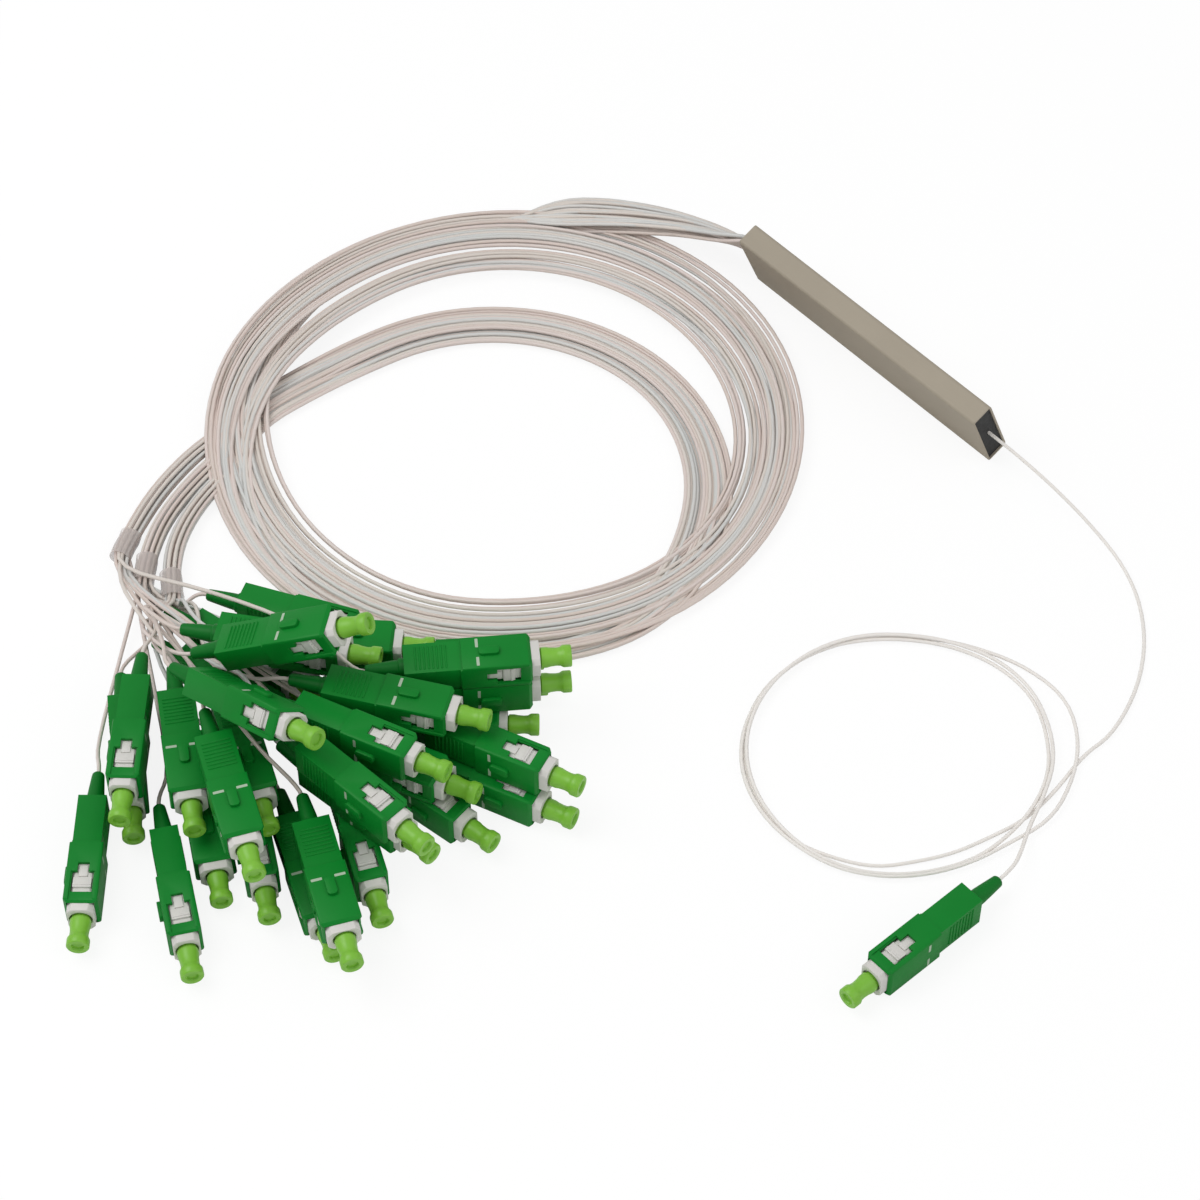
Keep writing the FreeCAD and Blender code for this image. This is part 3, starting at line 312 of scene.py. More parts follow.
def only(piece: Piece) -> None:
    """Selects one object and makes it active."""
    bpy.ops.object.select_all(action="DESELECT")
    piece.select_set(True)
    bpy.context.view_layer.objects.active = piece


def added(name: str, operator: Callable, **settings: object) -> Piece:
    """Adds a primitive, with its place and size put into its mesh.

    Args:
        name: The object's name.
        operator: The operator that adds it.
        settings: What the operator takes.

    Returns:
        The new object, at the origin and unscaled.
    """
    bpy.ops.object.select_all(action="DESELECT")
    operator(**settings)
    bpy.ops.object.transform_apply(location=True, rotation=True, scale=True)
    bpy.context.object.name = name
    return bpy.context.object


def shape_with(piece: Piece, modifier: bpy.types.Modifier) -> None:
    """Applies a modifier to its piece."""
    only(piece)
    bpy.ops.object.modifier_apply(modifier=modifier.name)


def sided(side: int, near: float, far: float) -> Span:
    """A span on one side of the middle, low end first: side 1 for the plus side and -1 for the minus side."""
    return (near, far) if side > 0 else (-far, -near)


def centred(width: float) -> Span:
    """A span of a width about the middle."""
    return -width / 2, width / 2


def block(name: str, x: Span, y: Span, z: Span) -> Piece:
    """Adds a box between its low and high sides.

    Args:
        name: The object's name.
        x: Low and high side along X.
        y: Low and high side along Y.
        z: Low and high side along Z.

    Returns:
        The box, with its size in its mesh.
    """
    middle = [(low + high) / 2 for low, high in (x, y, z)]
    return added(name, bpy.ops.mesh.primitive_cube_add, size=1, location=middle,
                 scale=[high - low for low, high in (x, y, z)])


def bevel_edges(piece: Piece, chosen: Callable[[Vector, Vector], bool], offset: float,
                segments: int = 1) -> None:
    """Bevels the edges of a piece that a test picks.

    Args:
        piece: The piece to shape.
        chosen: Takes an edge's two ends and says whether to bevel it.
        offset: The bevel's width.
        segments: Facets across the bevel.
    """
    only(piece)
    bpy.ops.object.mode_set(mode="EDIT")
    bpy.ops.mesh.select_mode(type="EDGE")
    bpy.ops.mesh.select_all(action="DESELECT")
    bpy.ops.object.mode_set(mode="OBJECT")
    points = piece.data.vertices
    for edge in piece.data.edges:
        edge.select = chosen(points[edge.vertices[0]].co, points[edge.vertices[1]].co)
    bpy.ops.object.mode_set(mode="EDIT")
    bpy.ops.mesh.bevel(offset=offset, segments=segments, affect="EDGES")
    bpy.ops.object.mode_set(mode="OBJECT")


def cut(piece: Piece, tool: Piece) -> None:
    """Cuts a piece with a tool and removes the tool.

    Args:
        piece: The piece to cut.
        tool: The closed shape to take away.
    """
    change = piece.modifiers.new("shape", "BOOLEAN")
    change.operation = "DIFFERENCE"
    change.solver = "EXACT"
    change.object = tool
    shape_with(piece, change)
    bpy.data.objects.remove(tool, do_unlink=True)


def soften(piece: Piece, width: float, segments: int = 2) -> None:
    """Rounds every sharp edge a little and smooths the shading between them.

    Args:
        piece: The piece to round.
        width: The rounding's width.
        segments: Facets across the rounding.
    """
    edge = piece.modifiers.new("edges", "BEVEL")
    edge.width = width
    edge.segments = segments
    edge.limit_method = "ANGLE"
    edge.angle_limit = math.radians(35)
    edge.use_clamp_overlap = True
    shape_with(piece, edge)
    bpy.ops.object.shade_smooth_by_angle(angle=math.radians(40))


def turned(name: str, profile: list[Span], sides: int = 24) -> Piece:
    """Extrudes and scales a disc along X through a profile.

    Args:
        name: The object's name.
        profile: Each step's place along X and its radius.
        sides: Facets round it.

    Returns:
        The closed turned piece.
    """
    at, radius = profile[0]
    piece = added(name, bpy.ops.mesh.primitive_circle_add, vertices=sides, radius=radius, fill_type="NGON",
                  location=(at, 0, 0), rotation=(0, math.pi / 2, 0))
    bpy.ops.object.mode_set(mode="EDIT")
    bpy.ops.mesh.select_all(action="SELECT")
    for after, wide in profile[1:]:
        bpy.ops.mesh.extrude_region_move(TRANSFORM_OT_translate={"value": (after - at, 0, 0)})
        share = wide / radius
        bpy.ops.transform.resize(value=(1, share, share), center_override=(after, 0, 0))
        at, radius = after, wide
    bpy.ops.mesh.select_all(action="SELECT")
    bpy.ops.mesh.normals_make_consistent(inside=False)
    bpy.ops.object.mode_set(mode="OBJECT")
    bpy.ops.object.shade_smooth_by_angle(angle=math.radians(40))
    return piece


def joined(name: str, pieces: list[Piece]) -> Piece:
    """Joins several objects into one.

    Args:
        name: The joined object's name.
        pieces: The objects, of which the first is kept.

    Returns:
        The joined object.
    """
    bpy.ops.object.select_all(action="DESELECT")
    for piece in pieces:
        piece.select_set(True)
    bpy.context.view_layer.objects.active = pieces[0]
    bpy.ops.object.join()
    pieces[0].name = name
    return pieces[0]


def placed_copy(template: Piece, name: str, place: Matrix) -> Piece:
    """Copies a template with its own mesh, put in its place in metres.

    Args:
        template: The piece to copy.
        name: The copy's name.
        place: The copy's place, with millimetres turned into metres.

    Returns:
        The copy, its object at the origin.
    """
    mesh = template.data.copy()
    mesh.transform(place)
    copy = bpy.data.objects.new(name, mesh)
    bpy.context.scene.collection.objects.link(copy)
    return copy


# Plugs

@dataclass
class PlugPlace:
    """Where a plug lies: its grip's middle in millimetres, and its turns in degrees."""

    x: float
    y: float
    z: float
    heading: float
    pitch: float = 0.0
    roll: float = 90.0

    def turn(self) -> Matrix:
        """The plug's turn alone."""
        spin = Matrix.Rotation(math.radians(self.heading), 4, "Z")
        rise = Matrix.Rotation(math.radians(-self.pitch), 4, "Y")
        return spin @ rise @ Matrix.Rotation(math.radians(self.roll), 4, "X")

    def matrix(self) -> Matrix:
        """The plug's place, in millimetres."""
        return Matrix.Translation((self.x, self.y, self.z)) @ self.turn()

    def in_metres(self) -> Matrix:
        """The plug's place, from millimetres to metres."""
        return Matrix.Scale(MM, 4) @ self.matrix()


@dataclass
class PushPullPlug:
    """A square push-pull plug: sizes, and the template pieces that every plug copies."""

    grip_length: float = 28.0
    grip_width: float = 9.0
    grip_height: float = 7.4
    grip_front: float = 15.7
    inset_side: float = 0.4
    inset_face: float = 0.6
    frame_width: float = 7.2
    frame_height: float = 5.8
    frame_nose: float = 1.8
    frame_chamfer: float = 1.1
    slide_gap: float = 0.08
    window_front: float = 2.6
    window_length: float = 5.2
    window_height: float = 4.6
    notch_length: float = 2.2
    notch_height: float = 2.5
    channel_depth: float = 0.35
    channel_height: float = 5.2
    window_floor: float = 3.4
    bore_back: float = -2.4
    face_step: float = 0.4
    mouth_chamfer: float = 0.8
    long_round: float = 0.45
    key_back: float = 11.5
    key_length: float = 4.5
    key_width: float = 2.2
    key_height: float = 0.8
    key_round: float = 0.7
    rib_count: int = 8
    rib_start: float = 2.4
    rib_pitch: float = 0.95
    rib_length: float = 0.42
    rib_width: float = 6.4
    rib_lift: Span = (-0.2, 0.17)
    dash_along: Span = (1.85, 2.5)
    dash_across: Span = (1.35, 3.75)
    dash_lift: Span = (-0.05, 0.03)
    frame_back: float = -1.0
    well_radius: float = 2.5
    well_floor: float = 8.4
    well_depth: float = 9.0
    latch: tuple[tuple, ...] = (
        ("lug", (-1.3, 1.3), (-0.3, 0.5), 4.0, EDGE), ("bar", (0.35, 0.85), (0.3, 0.65), 4.0, 0.1),
        ("stem", (-4.4, -1.6), (-0.3, 0.3), 2.0, EDGE))
    boot_length: float = 8.5
    boot_radius: float = 1.9
    cap_reach: float = 7.0
    cap_radius: float = 2.5
    parts: dict[str, Piece] = field(default_factory=dict)

    @property
    def mouth(self) -> float:
        """The grip's front end along X."""
        return self.grip_length / 2

    @property
    def nose(self) -> float:
        """The frame's front end along X."""
        return self.mouth + self.frame_nose

    def build(self, effects: SurfaceEffects) -> None:
        """Models each template piece once and dresses it.

        Args:
            effects: The shared node groups.
        """
        makers = {"grip": (self._grip, GRIP), "dashes": (self._dashes, DASH), "frame": (self._frame, FRAME),
                  "cap": (self._cap, CAP), "boot": (self._boot, BOOT)}
        for name, (make, finish) in makers.items():
            piece = make()
            dress(piece, finish, effects)
            self.parts[name] = piece
            LOG.info("plug template %s: %d faces", name, len(piece.data.polygons))

    def _grip(self) -> Piece:
        """Models the grip: slim rear, windows, channels, key and finger ribs.

        Returns:
            The grip.
        """
        half, wide, tall = self.mouth, self.grip_width / 2, self.grip_height / 2
        step = half - self.grip_front
        grip = block("grip", (-half, half), (-wide, wide), (-tall, tall))
        bevel_edges(grip, lambda a, b: min(a.x, b.x) > half - 0.01, self.mouth_chamfer)
        bevel_edges(grip, lambda a, b: abs(a.x - b.x) > 10, self.long_round, 2)
        slim_side = wide - self.inset_side
        slim_face = tall - self.inset_face
        for side in (1, -1):
            cut(grip, block("tool", (-half - OVER, step), sided(side, slim_side, wide + OVER),
                            (-tall - OVER, tall + OVER)))
        for side in (1, -1):
            cut(grip, block("tool", (-half - OVER, step + self.face_step), (-wide - OVER, wide + OVER),
                            sided(side, slim_face, tall + OVER)))
        bore = [centred(size + 2 * self.slide_gap) for size in (self.frame_width, self.frame_height)]
        cut(grip, block("tool", (self.bore_back, half + OVER), *bore))
        front = half - self.window_front
        back = front - self.window_length
        for side in (1, -1):
            deep = sided(side, self.window_floor, wide + OVER)
            shallow = sided(side, wide - self.channel_depth, wide + OVER)
            cut(grip, block("tool", (back, half + OVER), shallow, centred(self.channel_height)))
            cut(grip, block("tool", (back, front), deep, centred(self.window_height)))
            cut(grip, block("tool", (back - self.notch_length, back + 0.1), deep, centred(self.notch_height)))
        soften(grip, EDGE)
        return joined("grip_template", [grip, self._key()] + self._ribs(slim_face))

    def _key(self) -> Piece:
        """Models the key that stands on one wide face, round at its ends.

        Returns:
            The key.
        """
        back = self.mouth - self.key_back
        face = self.grip_height / 2
        key = block("key", (back, back + self.key_length), centred(self.key_width),
                    (face - SUNK, face + self.key_height))
        bevel_edges(key, lambda a, b: abs(a.z - b.z) > 0.5, self.key_round, 3)
        soften(key, EDGE)
        return key

    def _ribs(self, face: float) -> list[Piece]:
        """Models the short finger ribs on both wide faces of the slim rear.

        Args:
            face: Half the rear's height.

        Returns:
            The ribs, sunk a little into their faces.
        """
        low_lift, high_lift = self.rib_lift
        ribs = []
        for number in range(self.rib_count):
            low = -self.mouth + self.rib_start + self.rib_pitch * number
            for side in (1, -1):
                ribs.append(block("rib", (low, low + self.rib_length), centred(self.rib_width),
                                  sided(side, face + low_lift, face + high_lift)))
        for rib in ribs:
            soften(rib, 0.1, 1)
        return ribs

    def _dashes(self) -> Piece:
        """Models the pale printed dashes, two on each wide face.

        Returns:
            The dashes as one piece.
        """
        face = self.grip_height / 2
        low_lift, high_lift = self.dash_lift
        marks = []
        for end in (1, -1):
            for side in (1, -1):
                mark = block("dash", self.dash_along, sided(side, *self.dash_across),
                             sided(end, face + low_lift, face + high_lift))
                bevel_edges(mark, lambda a, b: abs(a.z - b.z) > 0.05, EDGE, 2)
                marks.append(mark)
        return joined("dash_template", marks)

    def _frame(self) -> Piece:
        """Models the white frame: an eight-sided nose with a round well, and a stepped lug in each window.

        Returns:
            The frame.
        """
        wide = self.frame_width / 2
        frame = block("frame", (self.frame_back, self.nose), (-wide, wide), centred(self.frame_height))
        bevel_edges(frame, lambda a, b: abs(a.x - b.x) > 10, self.frame_chamfer)
        well = added("well", bpy.ops.mesh.primitive_cylinder_add, vertices=32, radius=self.well_radius,
                     depth=self.well_depth, location=(self.well_floor + self.well_depth / 2, 0, 0),
                     rotation=(0, math.pi / 2, 0))
        cut(frame, well)
        soften(frame, 0.15)
        latches = []
        middle = self.mouth - self.window_front - self.window_length / 2
        for side in (1, -1):
            for name, (low, high), (near, far), width, edge in self.latch:
                piece = block(name, (middle + low, middle + high), sided(side, wide + near, wide + far),
                              centred(width))
                soften(piece, edge)
                latches.append(piece)
        return joined("frame_template", [frame] + latches)

    def _cap(self) -> Piece:
        """Models the dust cap: a waisted spool with a dimple in its end.

        Returns:
            The cap.
        """
        start = self.nose
        end = start + self.cap_reach
        profile = [(start - 6.2, 1.3), (start - 6.2, 1.9), (start + 0.15, 2.0), (start + 0.35, 2.3),
                   (start + 1.5, 2.3), (start + 2.3, 2.12), (start + 3.6, 2.02), (start + 4.5, 2.1),
                   (start + 5.0, 2.42), (start + 5.25, self.cap_radius), (end - 0.25, self.cap_radius),
                   (end, 2.3), (end, 1.5),
                   (end - 0.15, 1.32), (end - 0.6, 1.2), (end - 0.6, 0.05)]
        return turned("cap_template", profile)

    def _boot(self) -> Piece:
        """Models the boot: a collar, then a taper with a round end.

        Returns:
            The boot.
        """
        end = -self.mouth - self.boot_length
        profile = [(-12.4, 2.3), (-14.9, 2.3), (-15.1, 2.22), (-15.3, 1.95), (-16.5, self.boot_radius), (-19.0, 1.68),
                   (end + 0.7, 1.42), (end + 0.25, 1.34), (end, 1.12), (end, 0.46)]
        return turned("boot_template", profile)

    def whole(self) -> Piece:
        """Joins copies of every template piece into the template of an output plug.

        Returns:
            The joined template.
        """
        copies = [placed_copy(piece, name + "_copy", Matrix.Identity(4)) for name, piece in self.parts.items()]
        return joined("plug_template", copies)

    def discard(self) -> None:
        """Removes the template pieces once all copies are made."""
        for piece in self.parts.values():
            bpy.data.objects.remove(piece, do_unlink=True)
        self.parts.clear()


# Leads

@dataclass
class LeadRouter:
    """Finds a clear way for each tail from its trunk to its boot."""

    plug: PushPullPlug
    places: dict[int, PlugPlace]
    radius: float = 0.45
    clearance: float = 0.05
    probe: float = 0.8
    straight_in: float = 2.4
    last_away: tuple[float, ...] = (5, 7, 10)
    last_lift: tuple[float, ...] = (0, 2, 4, 7, 11, 15, -2, -4)
    last_shift: tuple[float, ...] = (0, -2, 2, -4, 4, -7, 7)
    first_share: tuple[float, ...] = (0.3, 0.5, 0.7, 0.85)
    first_lift: tuple[float, ...] = (0, 3, 6, 10, 14, 19, 24, 29)
    first_shift: tuple[float, ...] = (0, -4, 4, -9, 9, -15, 15, -22, 22)
    taken: set[tuple[int, int, int]] = field(default_factory=set)

    def spans(self) -> list[tuple[Span, Span, Span]]:
        """The boxes that a plug fills along its own axes: grip, key, nose, cap and boot.

        Returns:
            Each box's span along X, Y and Z.
        """
        plug = self.plug
        half, nose, tall = plug.mouth, plug.nose, plug.grip_height / 2
        key = half - plug.key_back
        cap, boot = centred(2 * plug.cap_radius), centred(2 * plug.boot_radius)
        return [((-half, half), centred(plug.grip_width), (-tall, tall)),
                ((key, key + plug.key_length), centred(plug.key_width), (tall, tall + plug.key_height)),
                ((half, nose), centred(plug.frame_width), centred(plug.frame_height)),
                ((nose, nose + plug.cap_reach), cap, cap),
                ((-half - plug.boot_length, -half), boot, boot)]

    @staticmethod
    def steps(low: float, high: float, step: float) -> list[float]:
        """Even values from low to high, no further apart than the step.

        Args:
            low: The first value.
            high: The last value.
            step: The most between two values.

        Returns:
            The values.
        """
        count = max(1, math.ceil((high - low) / step))
        return [low + (high - low) * number / count for number in range(count + 1)]

    def fill(self) -> None:
        """Notes every whole-millimetre cell that a plug reaches."""
        for place in self.places.values():
            matrix = place.matrix()
            for spans in self.spans():
                for local in product(*[self.steps(low, high, self.probe) for low, high in spans]):
                    spot = matrix @ Vector(local)
                    self.taken.add((round(spot.x), round(spot.y), round(spot.z)))

    def is_open(self, start: Point, end: Point) -> bool:
        """Says whether a straight run misses every taken cell.

        Args:
            start: The run's start.
            end: Its end.

        Returns:
            True where every probed point is free.
        """
        count = math.ceil(math.dist(start, end) / self.probe) + 1
        for number in range(count + 1):
            share = number / count
            if tuple(round(a + (b - a) * share) for a, b in zip(start, end)) in self.taken:
                return False
        return True

    def least_gap(self, corners: list[Point]) -> float:
        """The least distance from a route to any plug near it.

        Args:
            corners: The route's corners.

        Returns:
            The distance, less than 0 inside a plug.
        """
        least = 99.0
        for place in self.places.values():
            inverse = place.matrix().inverted()
            base = Vector((place.x, place.y, place.z))
            for start, end in zip(corners, corners[1:]):
                for share in self.steps(0, 1, 0.5 / max(0.5, math.dist(start, end))):
                    spot = Vector(start).lerp(Vector(end), share)
                    if (spot - base).length > self.plug.grip_length:
                        continue
                    local = inverse @ spot
                    for spans in self.spans():
                        beyond = [max(low - value, value - high) for value, (low, high) in zip(local, spans)]
                        gap = math.hypot(*[max(value, 0) for value in beyond]) + min(max(beyond), 0)
                        least = min(least, gap)
        return least

    @staticmethod
    def softened(corners: list[Point]) -> list[Point]:
        """Points on the smooth way that cuts each corner from middle to middle of its runs.

        Args:
            corners: The route's corners.

        Returns:
            Points to measure, which the drawn lead doesn't take.
        """
        spots = [corners[0]]
        for before, corner, after in zip(corners, corners[1:], corners[2:]):
            first = [(a + b) / 2 for a, b in zip(before, corner)]
            last = [(a + b) / 2 for a, b in zip(corner, after)]
            for share in (0, 0.25, 0.5, 0.75, 1):
                spots.append(tuple(a * (1 - share) ** 2 + 2 * b * share * (1 - share) + c * share ** 2
                                   for a, b, c in zip(first, corner, last)))
        return spots + [corners[-1]]

    def tip(self, number: int) -> Vector:
        """The middle of a boot's small end."""
        return self.places[number].matrix() @ Vector((-self.plug.mouth - self.plug.boot_length, 0, 0))

    def route(self, start: Point, number: int) -> list[Point]:
        """The shortest clear route of two free points from a slot to a boot.

        Args:
            start: The slot in the trunk.
            number: The plug's number.

        Returns:
            The route's corners, with the boot's end last.
        """
        tip = tuple(self.tip(number))
        back = tuple(self.places[number].turn() @ Vector((-1, 0, 0)))
        near = tuple(a + self.straight_in * b for a, b in zip(tip, back))
        seconds = []
        for away, lift, shift in product(self.last_away, self.last_lift, self.last_shift):
            point = (tip[0] + back[0] * away - back[1] * shift, tip[1] + back[1] * away + back[0] * shift,
                     tip[2] + back[2] * away + lift)
            if point[2] > self.radius and self.is_open(near, point):
                seconds.append(point)
        routes = []
        for second in seconds:
            along = [b - a for a, b in zip(start, second)]
            flat = math.hypot(along[0], along[1])
            for share, lift, shift in product(self.first_share, self.first_lift, self.first_shift):
                first = (start[0] + along[0] * share - along[1] / flat * shift,
                         start[1] + along[1] * share + along[0] / flat * shift,
                         max(self.radius + 0.2, start[2] + along[2] * share + lift))
                routes.append((math.dist(start, first) + math.dist(first, second), first, second))
        for _, first, second in sorted(routes):
            if self.is_open(start, first) and self.is_open(first, second):
                corners = [start, first, second, near]
                clear = self.radius + self.clearance
                if self.least_gap(corners) > clear and self.least_gap(self.softened(corners)) > clear:
                    return corners + [tip]
        return [start, near, tip]


def eased(value: float, low: float, high: float) -> float:
    """Rises smoothly from 0 at the low value to 1 at the high one."""
    share = max(0.0, min(1.0, (value - low) / (high - low)))
    return share * share * (3 - 2 * share)


def hump(degrees: float, height: float, middle: float, reach: float) -> float:
    """Rises smoothly to a height at a place on the circle and back to 0 at the reach to both sides of it."""
    away = abs((degrees - middle + 180) % 360 - 180)
    return height * math.cos(min(1.0, away / reach) * math.pi / 2) ** 2


@dataclass
class OutputLeads:
    """The 32 output leads: out of the module, round the coil, through three trunks and into their plugs.

    The angles run on from turn to turn. Between each pair of them a lead changes its place or its height. A
    band is the middle and the half width of the leads' places across the coil, a layer a height and the share
    that the lead's own level adds, and a hump how much, at what angle and how far to both sides.
    """

    diameter: float = 0.96
    coil: Point = (-44.0, -76.0, 0.0)
    turn: Point = (-32.0, -94.0, 0.0)
    inside: float = 53.0
    inside_swell: float = 5.0
    outside: float = 71.3
    outside_swell: float = 2.4
    turn_radius: float = 52.4
    turn_half_width: float = 5.4
    inside_hump: Point = (2.6, 25, 70)
    crossings: tuple[Point, ...] = ((2.2, 226, 44), (1.4, 325, 34))
    first_band: Span = (0.68, 0.3)
    last_band: Span = (0.86, 0.3)
    high_layer: Span = (1.3, 0.6)
    low_layer: Span = (1.25, 0.75)
    layer_rise: float = 1.9
    level_step: float = 0.8
    phases: Point = (2.4, 3.3, 4.7)
    stray: float = 0.24
    wander: float = 0.07
    entry_angle: float = 144.0
    exit_angle: float = 896.0
    angle_step: float = 16.0
    first_move: Span = (150, 290)
    second_move: Span = (330, 500)
    climb: Span = (330, 440)
    last_move: Span = (545, 640)
    sink: Span = (560, 640)
    leave: Span = (655, 750)
    trunk_diameter: float = 3.8
    trunk_spread: float = 1.25
    tape_radius: float = 2.56
    tape_length: float = 7.5
    tape_place: float = 0.36
    tape_wall: float = 0.08
    tape_ripple: float = 0.035
    tape_flat: float = 0.94
    lean: float = 22.0
    exits: list[Point] = field(default_factory=lambda: [
        (-39.6, 0, 10.2), (-42.5, 0, 10.2), (-48, -1, 9.4), (-58.5, -4, 7.6), (-69, -8.8, 5.6), (-79, -15.8, 4.4),
        (-88, -25, 3.6)])
    spreads: list[Span] = field(default_factory=lambda: [
        (7.6, 0.6), (7.6, 0.6), (7.2, 0.8), (6.4, 1.0), (5.8, 1.1), (5.4, 1.2), (4.8, 1.3)])
    trunks: dict[int, list[Point]] = field(default_factory=lambda: {
        0: [(-86.5, -129, 1.8), (-85.5, -140, 2.4), (-81.5, -154, 2.5), (-75.5, -166, 2.5), (-69, -176.5, 2.1)],
        1: [(-81.5, -132, 1.8), (-79, -144, 2.4), (-74, -158, 2.5), (-67, -168, 2.5), (-59.5, -175.5, 2.1)],
        2: [(-76.5, -135, 1.8), (-73, -148, 2.4), (-67, -159.5, 2.5), (-59.5, -167, 2.5), (-51, -172.5, 2.1)]})

    def slot_offsets(self) -> list[Span]:
        """Offsets of the 11 slots across a trunk: three in its middle and eight round them.

        Returns:
            Each slot's place across and up.
        """
        pitch = self.trunk_diameter / 2 - self.diameter / 2
        offsets = []
        for count, ring in ((3, 0.38), (8, 1.0)):
            for number in range(count):
                angle = 2 * math.pi * (number + 0.5) / count
                offsets.append((pitch * ring * math.cos(angle), pitch * ring * math.sin(angle)))
        return offsets

    def slots(self) -> list[tuple[int, int, Vector]]:
        """Every slot of every trunk.

        Returns:
            Each slot's trunk, its number there and its point at the trunk's end.
        """
        found = []
        for trunk, route in self.trunks.items():
            end = Vector(route[-1])
            ahead = end - Vector((route[-2][0], route[-2][1], end.z))
            turn = Vector((1, 0, 0)).rotation_difference(ahead)
            for number, (across, up) in enumerate(self.slot_offsets()):
                found.append((trunk, number, end + turn @ Vector((0, across, up))))
        return found

    @staticmethod
    def place_across(trunk: int, slot: int) -> float:
        """A lead's place across its band, from -1 to 1, in the order of the trunks."""
        return (1 - trunk) * 0.68 + (slot - 5) / 5 * 0.32

    def near(self, place: float, phase: float) -> float:
        """A place a little to one side of another, kept in the band."""
        return max(-1.0, min(1.0, place * 0.94 + self.stray * math.sin(phase)))

    def bundle_points(self, number: int, trunk: int, slot: int) -> list[Point]:
        """A lead's points from the module's seal to the coil.

        Args:
            number: The lead's number, from 0.
            trunk: The trunk it goes on to.
            slot: Its slot there.

        Returns:
            The points, in millimetres.
        """
        wide = self.near(self.place_across(trunk, slot), number * self.phases[0])
        high = 1 if number % 2 else -1
        lean = math.radians(self.lean)
        upright = Vector((0, -math.sin(lean), math.cos(lean)))
        points = []
        last = len(self.exits) - 1
        for step, (centre, (half_wide, half_high)) in enumerate(zip(self.exits, self.spreads)):
            ahead = Vector(self.exits[min(step + 1, last)]) - Vector(self.exits[max(step - 1, 0)])
            flat = Vector((ahead.y, -ahead.x, 0)).normalized()
            side = upright.lerp(flat * -1, min(1, step / (last - 1))).normalized()
            rise = side.cross(ahead.normalized()).normalized()
            drift = 0.12 * math.sin(step * 1.1 + number * 2.3)
            spot = Vector(centre) + side * half_wide * (wide + drift) + rise * half_high * high
            points.append(self.above_floor(spot))
        return points

    def above_floor(self, spot: Vector) -> Point:
        """A point, lifted where the lead would go into the floor."""
        return spot.x, spot.y, max(spot.z, self.diameter / 2 + 0.05)

    def coil_points(self, number: int, trunk: int, slot: int) -> list[Point]:
        """A lead's points round the coil: two wide turns, then a smaller one that runs under them.

        Args:
            number: The lead's number, from 0.
            trunk: The trunk it goes on to.
            slot: Its slot there.

        Returns:
            The points, in millimetres.
        """
        last = self.place_across(trunk, slot)
        entry, first, second = [self.near(last, number * phase + turn) for turn, phase in enumerate(self.phases)]
        level = (number % 3 - 1) * self.level_step
        over, under = [height + level * share for height, share in (self.high_layer, self.low_layer)]
        points = []
        count = math.ceil((self.exit_angle - self.entry_angle) / self.angle_step)
        for step in range(count + 1):
            degrees = self.entry_angle + (self.exit_angle - self.entry_angle) * step / count
            angle = math.radians(degrees)
            away = Vector((math.cos(angle), math.sin(angle), 0))
            place = self.first_band[0] + self.first_band[1] * entry
            for goal, move in ((first, self.first_move), (second, self.second_move),
                               (self.last_band[0] + self.last_band[1] * last, self.last_move)):
                place += (goal - place) * eased(degrees, *move)
            place += self.wander * math.sin(angle * 0.9 + number * 1.7)
            inside = self.inside + self.inside_swell * math.cos(angle - math.radians(300))
            inside += hump(degrees, *self.inside_hump)
            outside = self.outside + self.outside_swell * math.cos(angle - math.radians(270))
            ring = Vector(self.coil) + away * (inside + (outside - inside) * (0.5 + 0.5 * place))
            small = Vector(self.turn) + away * (self.turn_radius + self.turn_half_width * last)
            spot = ring.lerp(small, eased(degrees, *self.leave))
            high = over + self.layer_rise * eased(degrees, *self.climb)
            high += sum(hump(degrees, *crossing) for crossing in self.crossings)
            spot.z = high + (under - high) * eased(degrees, *self.sink)
            points.append(tuple(spot))
        return points

    def trunk_points(self, trunk: int, slot: int) -> list[Point]:
        """A lead's points along its trunk, kept to its slot, without the trunk's end.

        Args:
            trunk: The trunk's number.
            slot: The slot's number.

        Returns:
            The points, in millimetres.
        """
        route = self.trunks[trunk]
        across, up = self.slot_offsets()[slot]
        last = self.place_across(trunk, slot)
        height = 1.3 + up * 0.5
        points = [(-86.4 - 5.2 * last, -107, height), (-87.0 - 5.0 * last, -119 - 1.5 * trunk, height)]
        for step, centre in enumerate(route[:-1]):
            ahead = Vector(route[step + 1]) - Vector(route[max(step - 1, 0)])
            turn = Vector((1, 0, 0)).rotation_difference(Vector((ahead.x, ahead.y, 0)))
            rounded = (0.4, 0.75)[step] if step < 2 else 1.0
            points.append(self.above_floor(
                Vector(centre) + turn @ Vector((0, across, up * rounded)) * self.trunk_spread))
        return points

    def build(self, router: LeadRouter, plugs: dict[int, Piece], effects: SurfaceEffects) -> None:
        """Args:
            router: Finds the tails' routes.
            plugs: Each output plug's piece, by number; not used.
            effects: The shared node groups.
        """
        router.fill()
        slots = self.slots()
        middle = Vector(self.trunks[1][-1])
        order = sorted(router.places, key=lambda key: (router.tip(key) - middle).length)
        for rank, number in enumerate(order):
            tip = router.tip(number)
            slots.sort(key=lambda slot: (slot[2] - tip).length)
            trunk, slot, start = slots.pop(0)
            tail = router.route(tuple(start), number)
            points = self.bundle_points(rank, trunk, slot) + self.coil_points(rank, trunk, slot)
            points += self.trunk_points(trunk, slot) + tail
            lead = lead_curve("lead_%02d" % number, points, self.diameter, JACKETS[rank % 4].material(effects))
            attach(lead, "splitter")
            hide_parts("output_bundle", "output_coil", "output_trunks", "output_tails")
        LOG.info("output leads: %d", len(order))

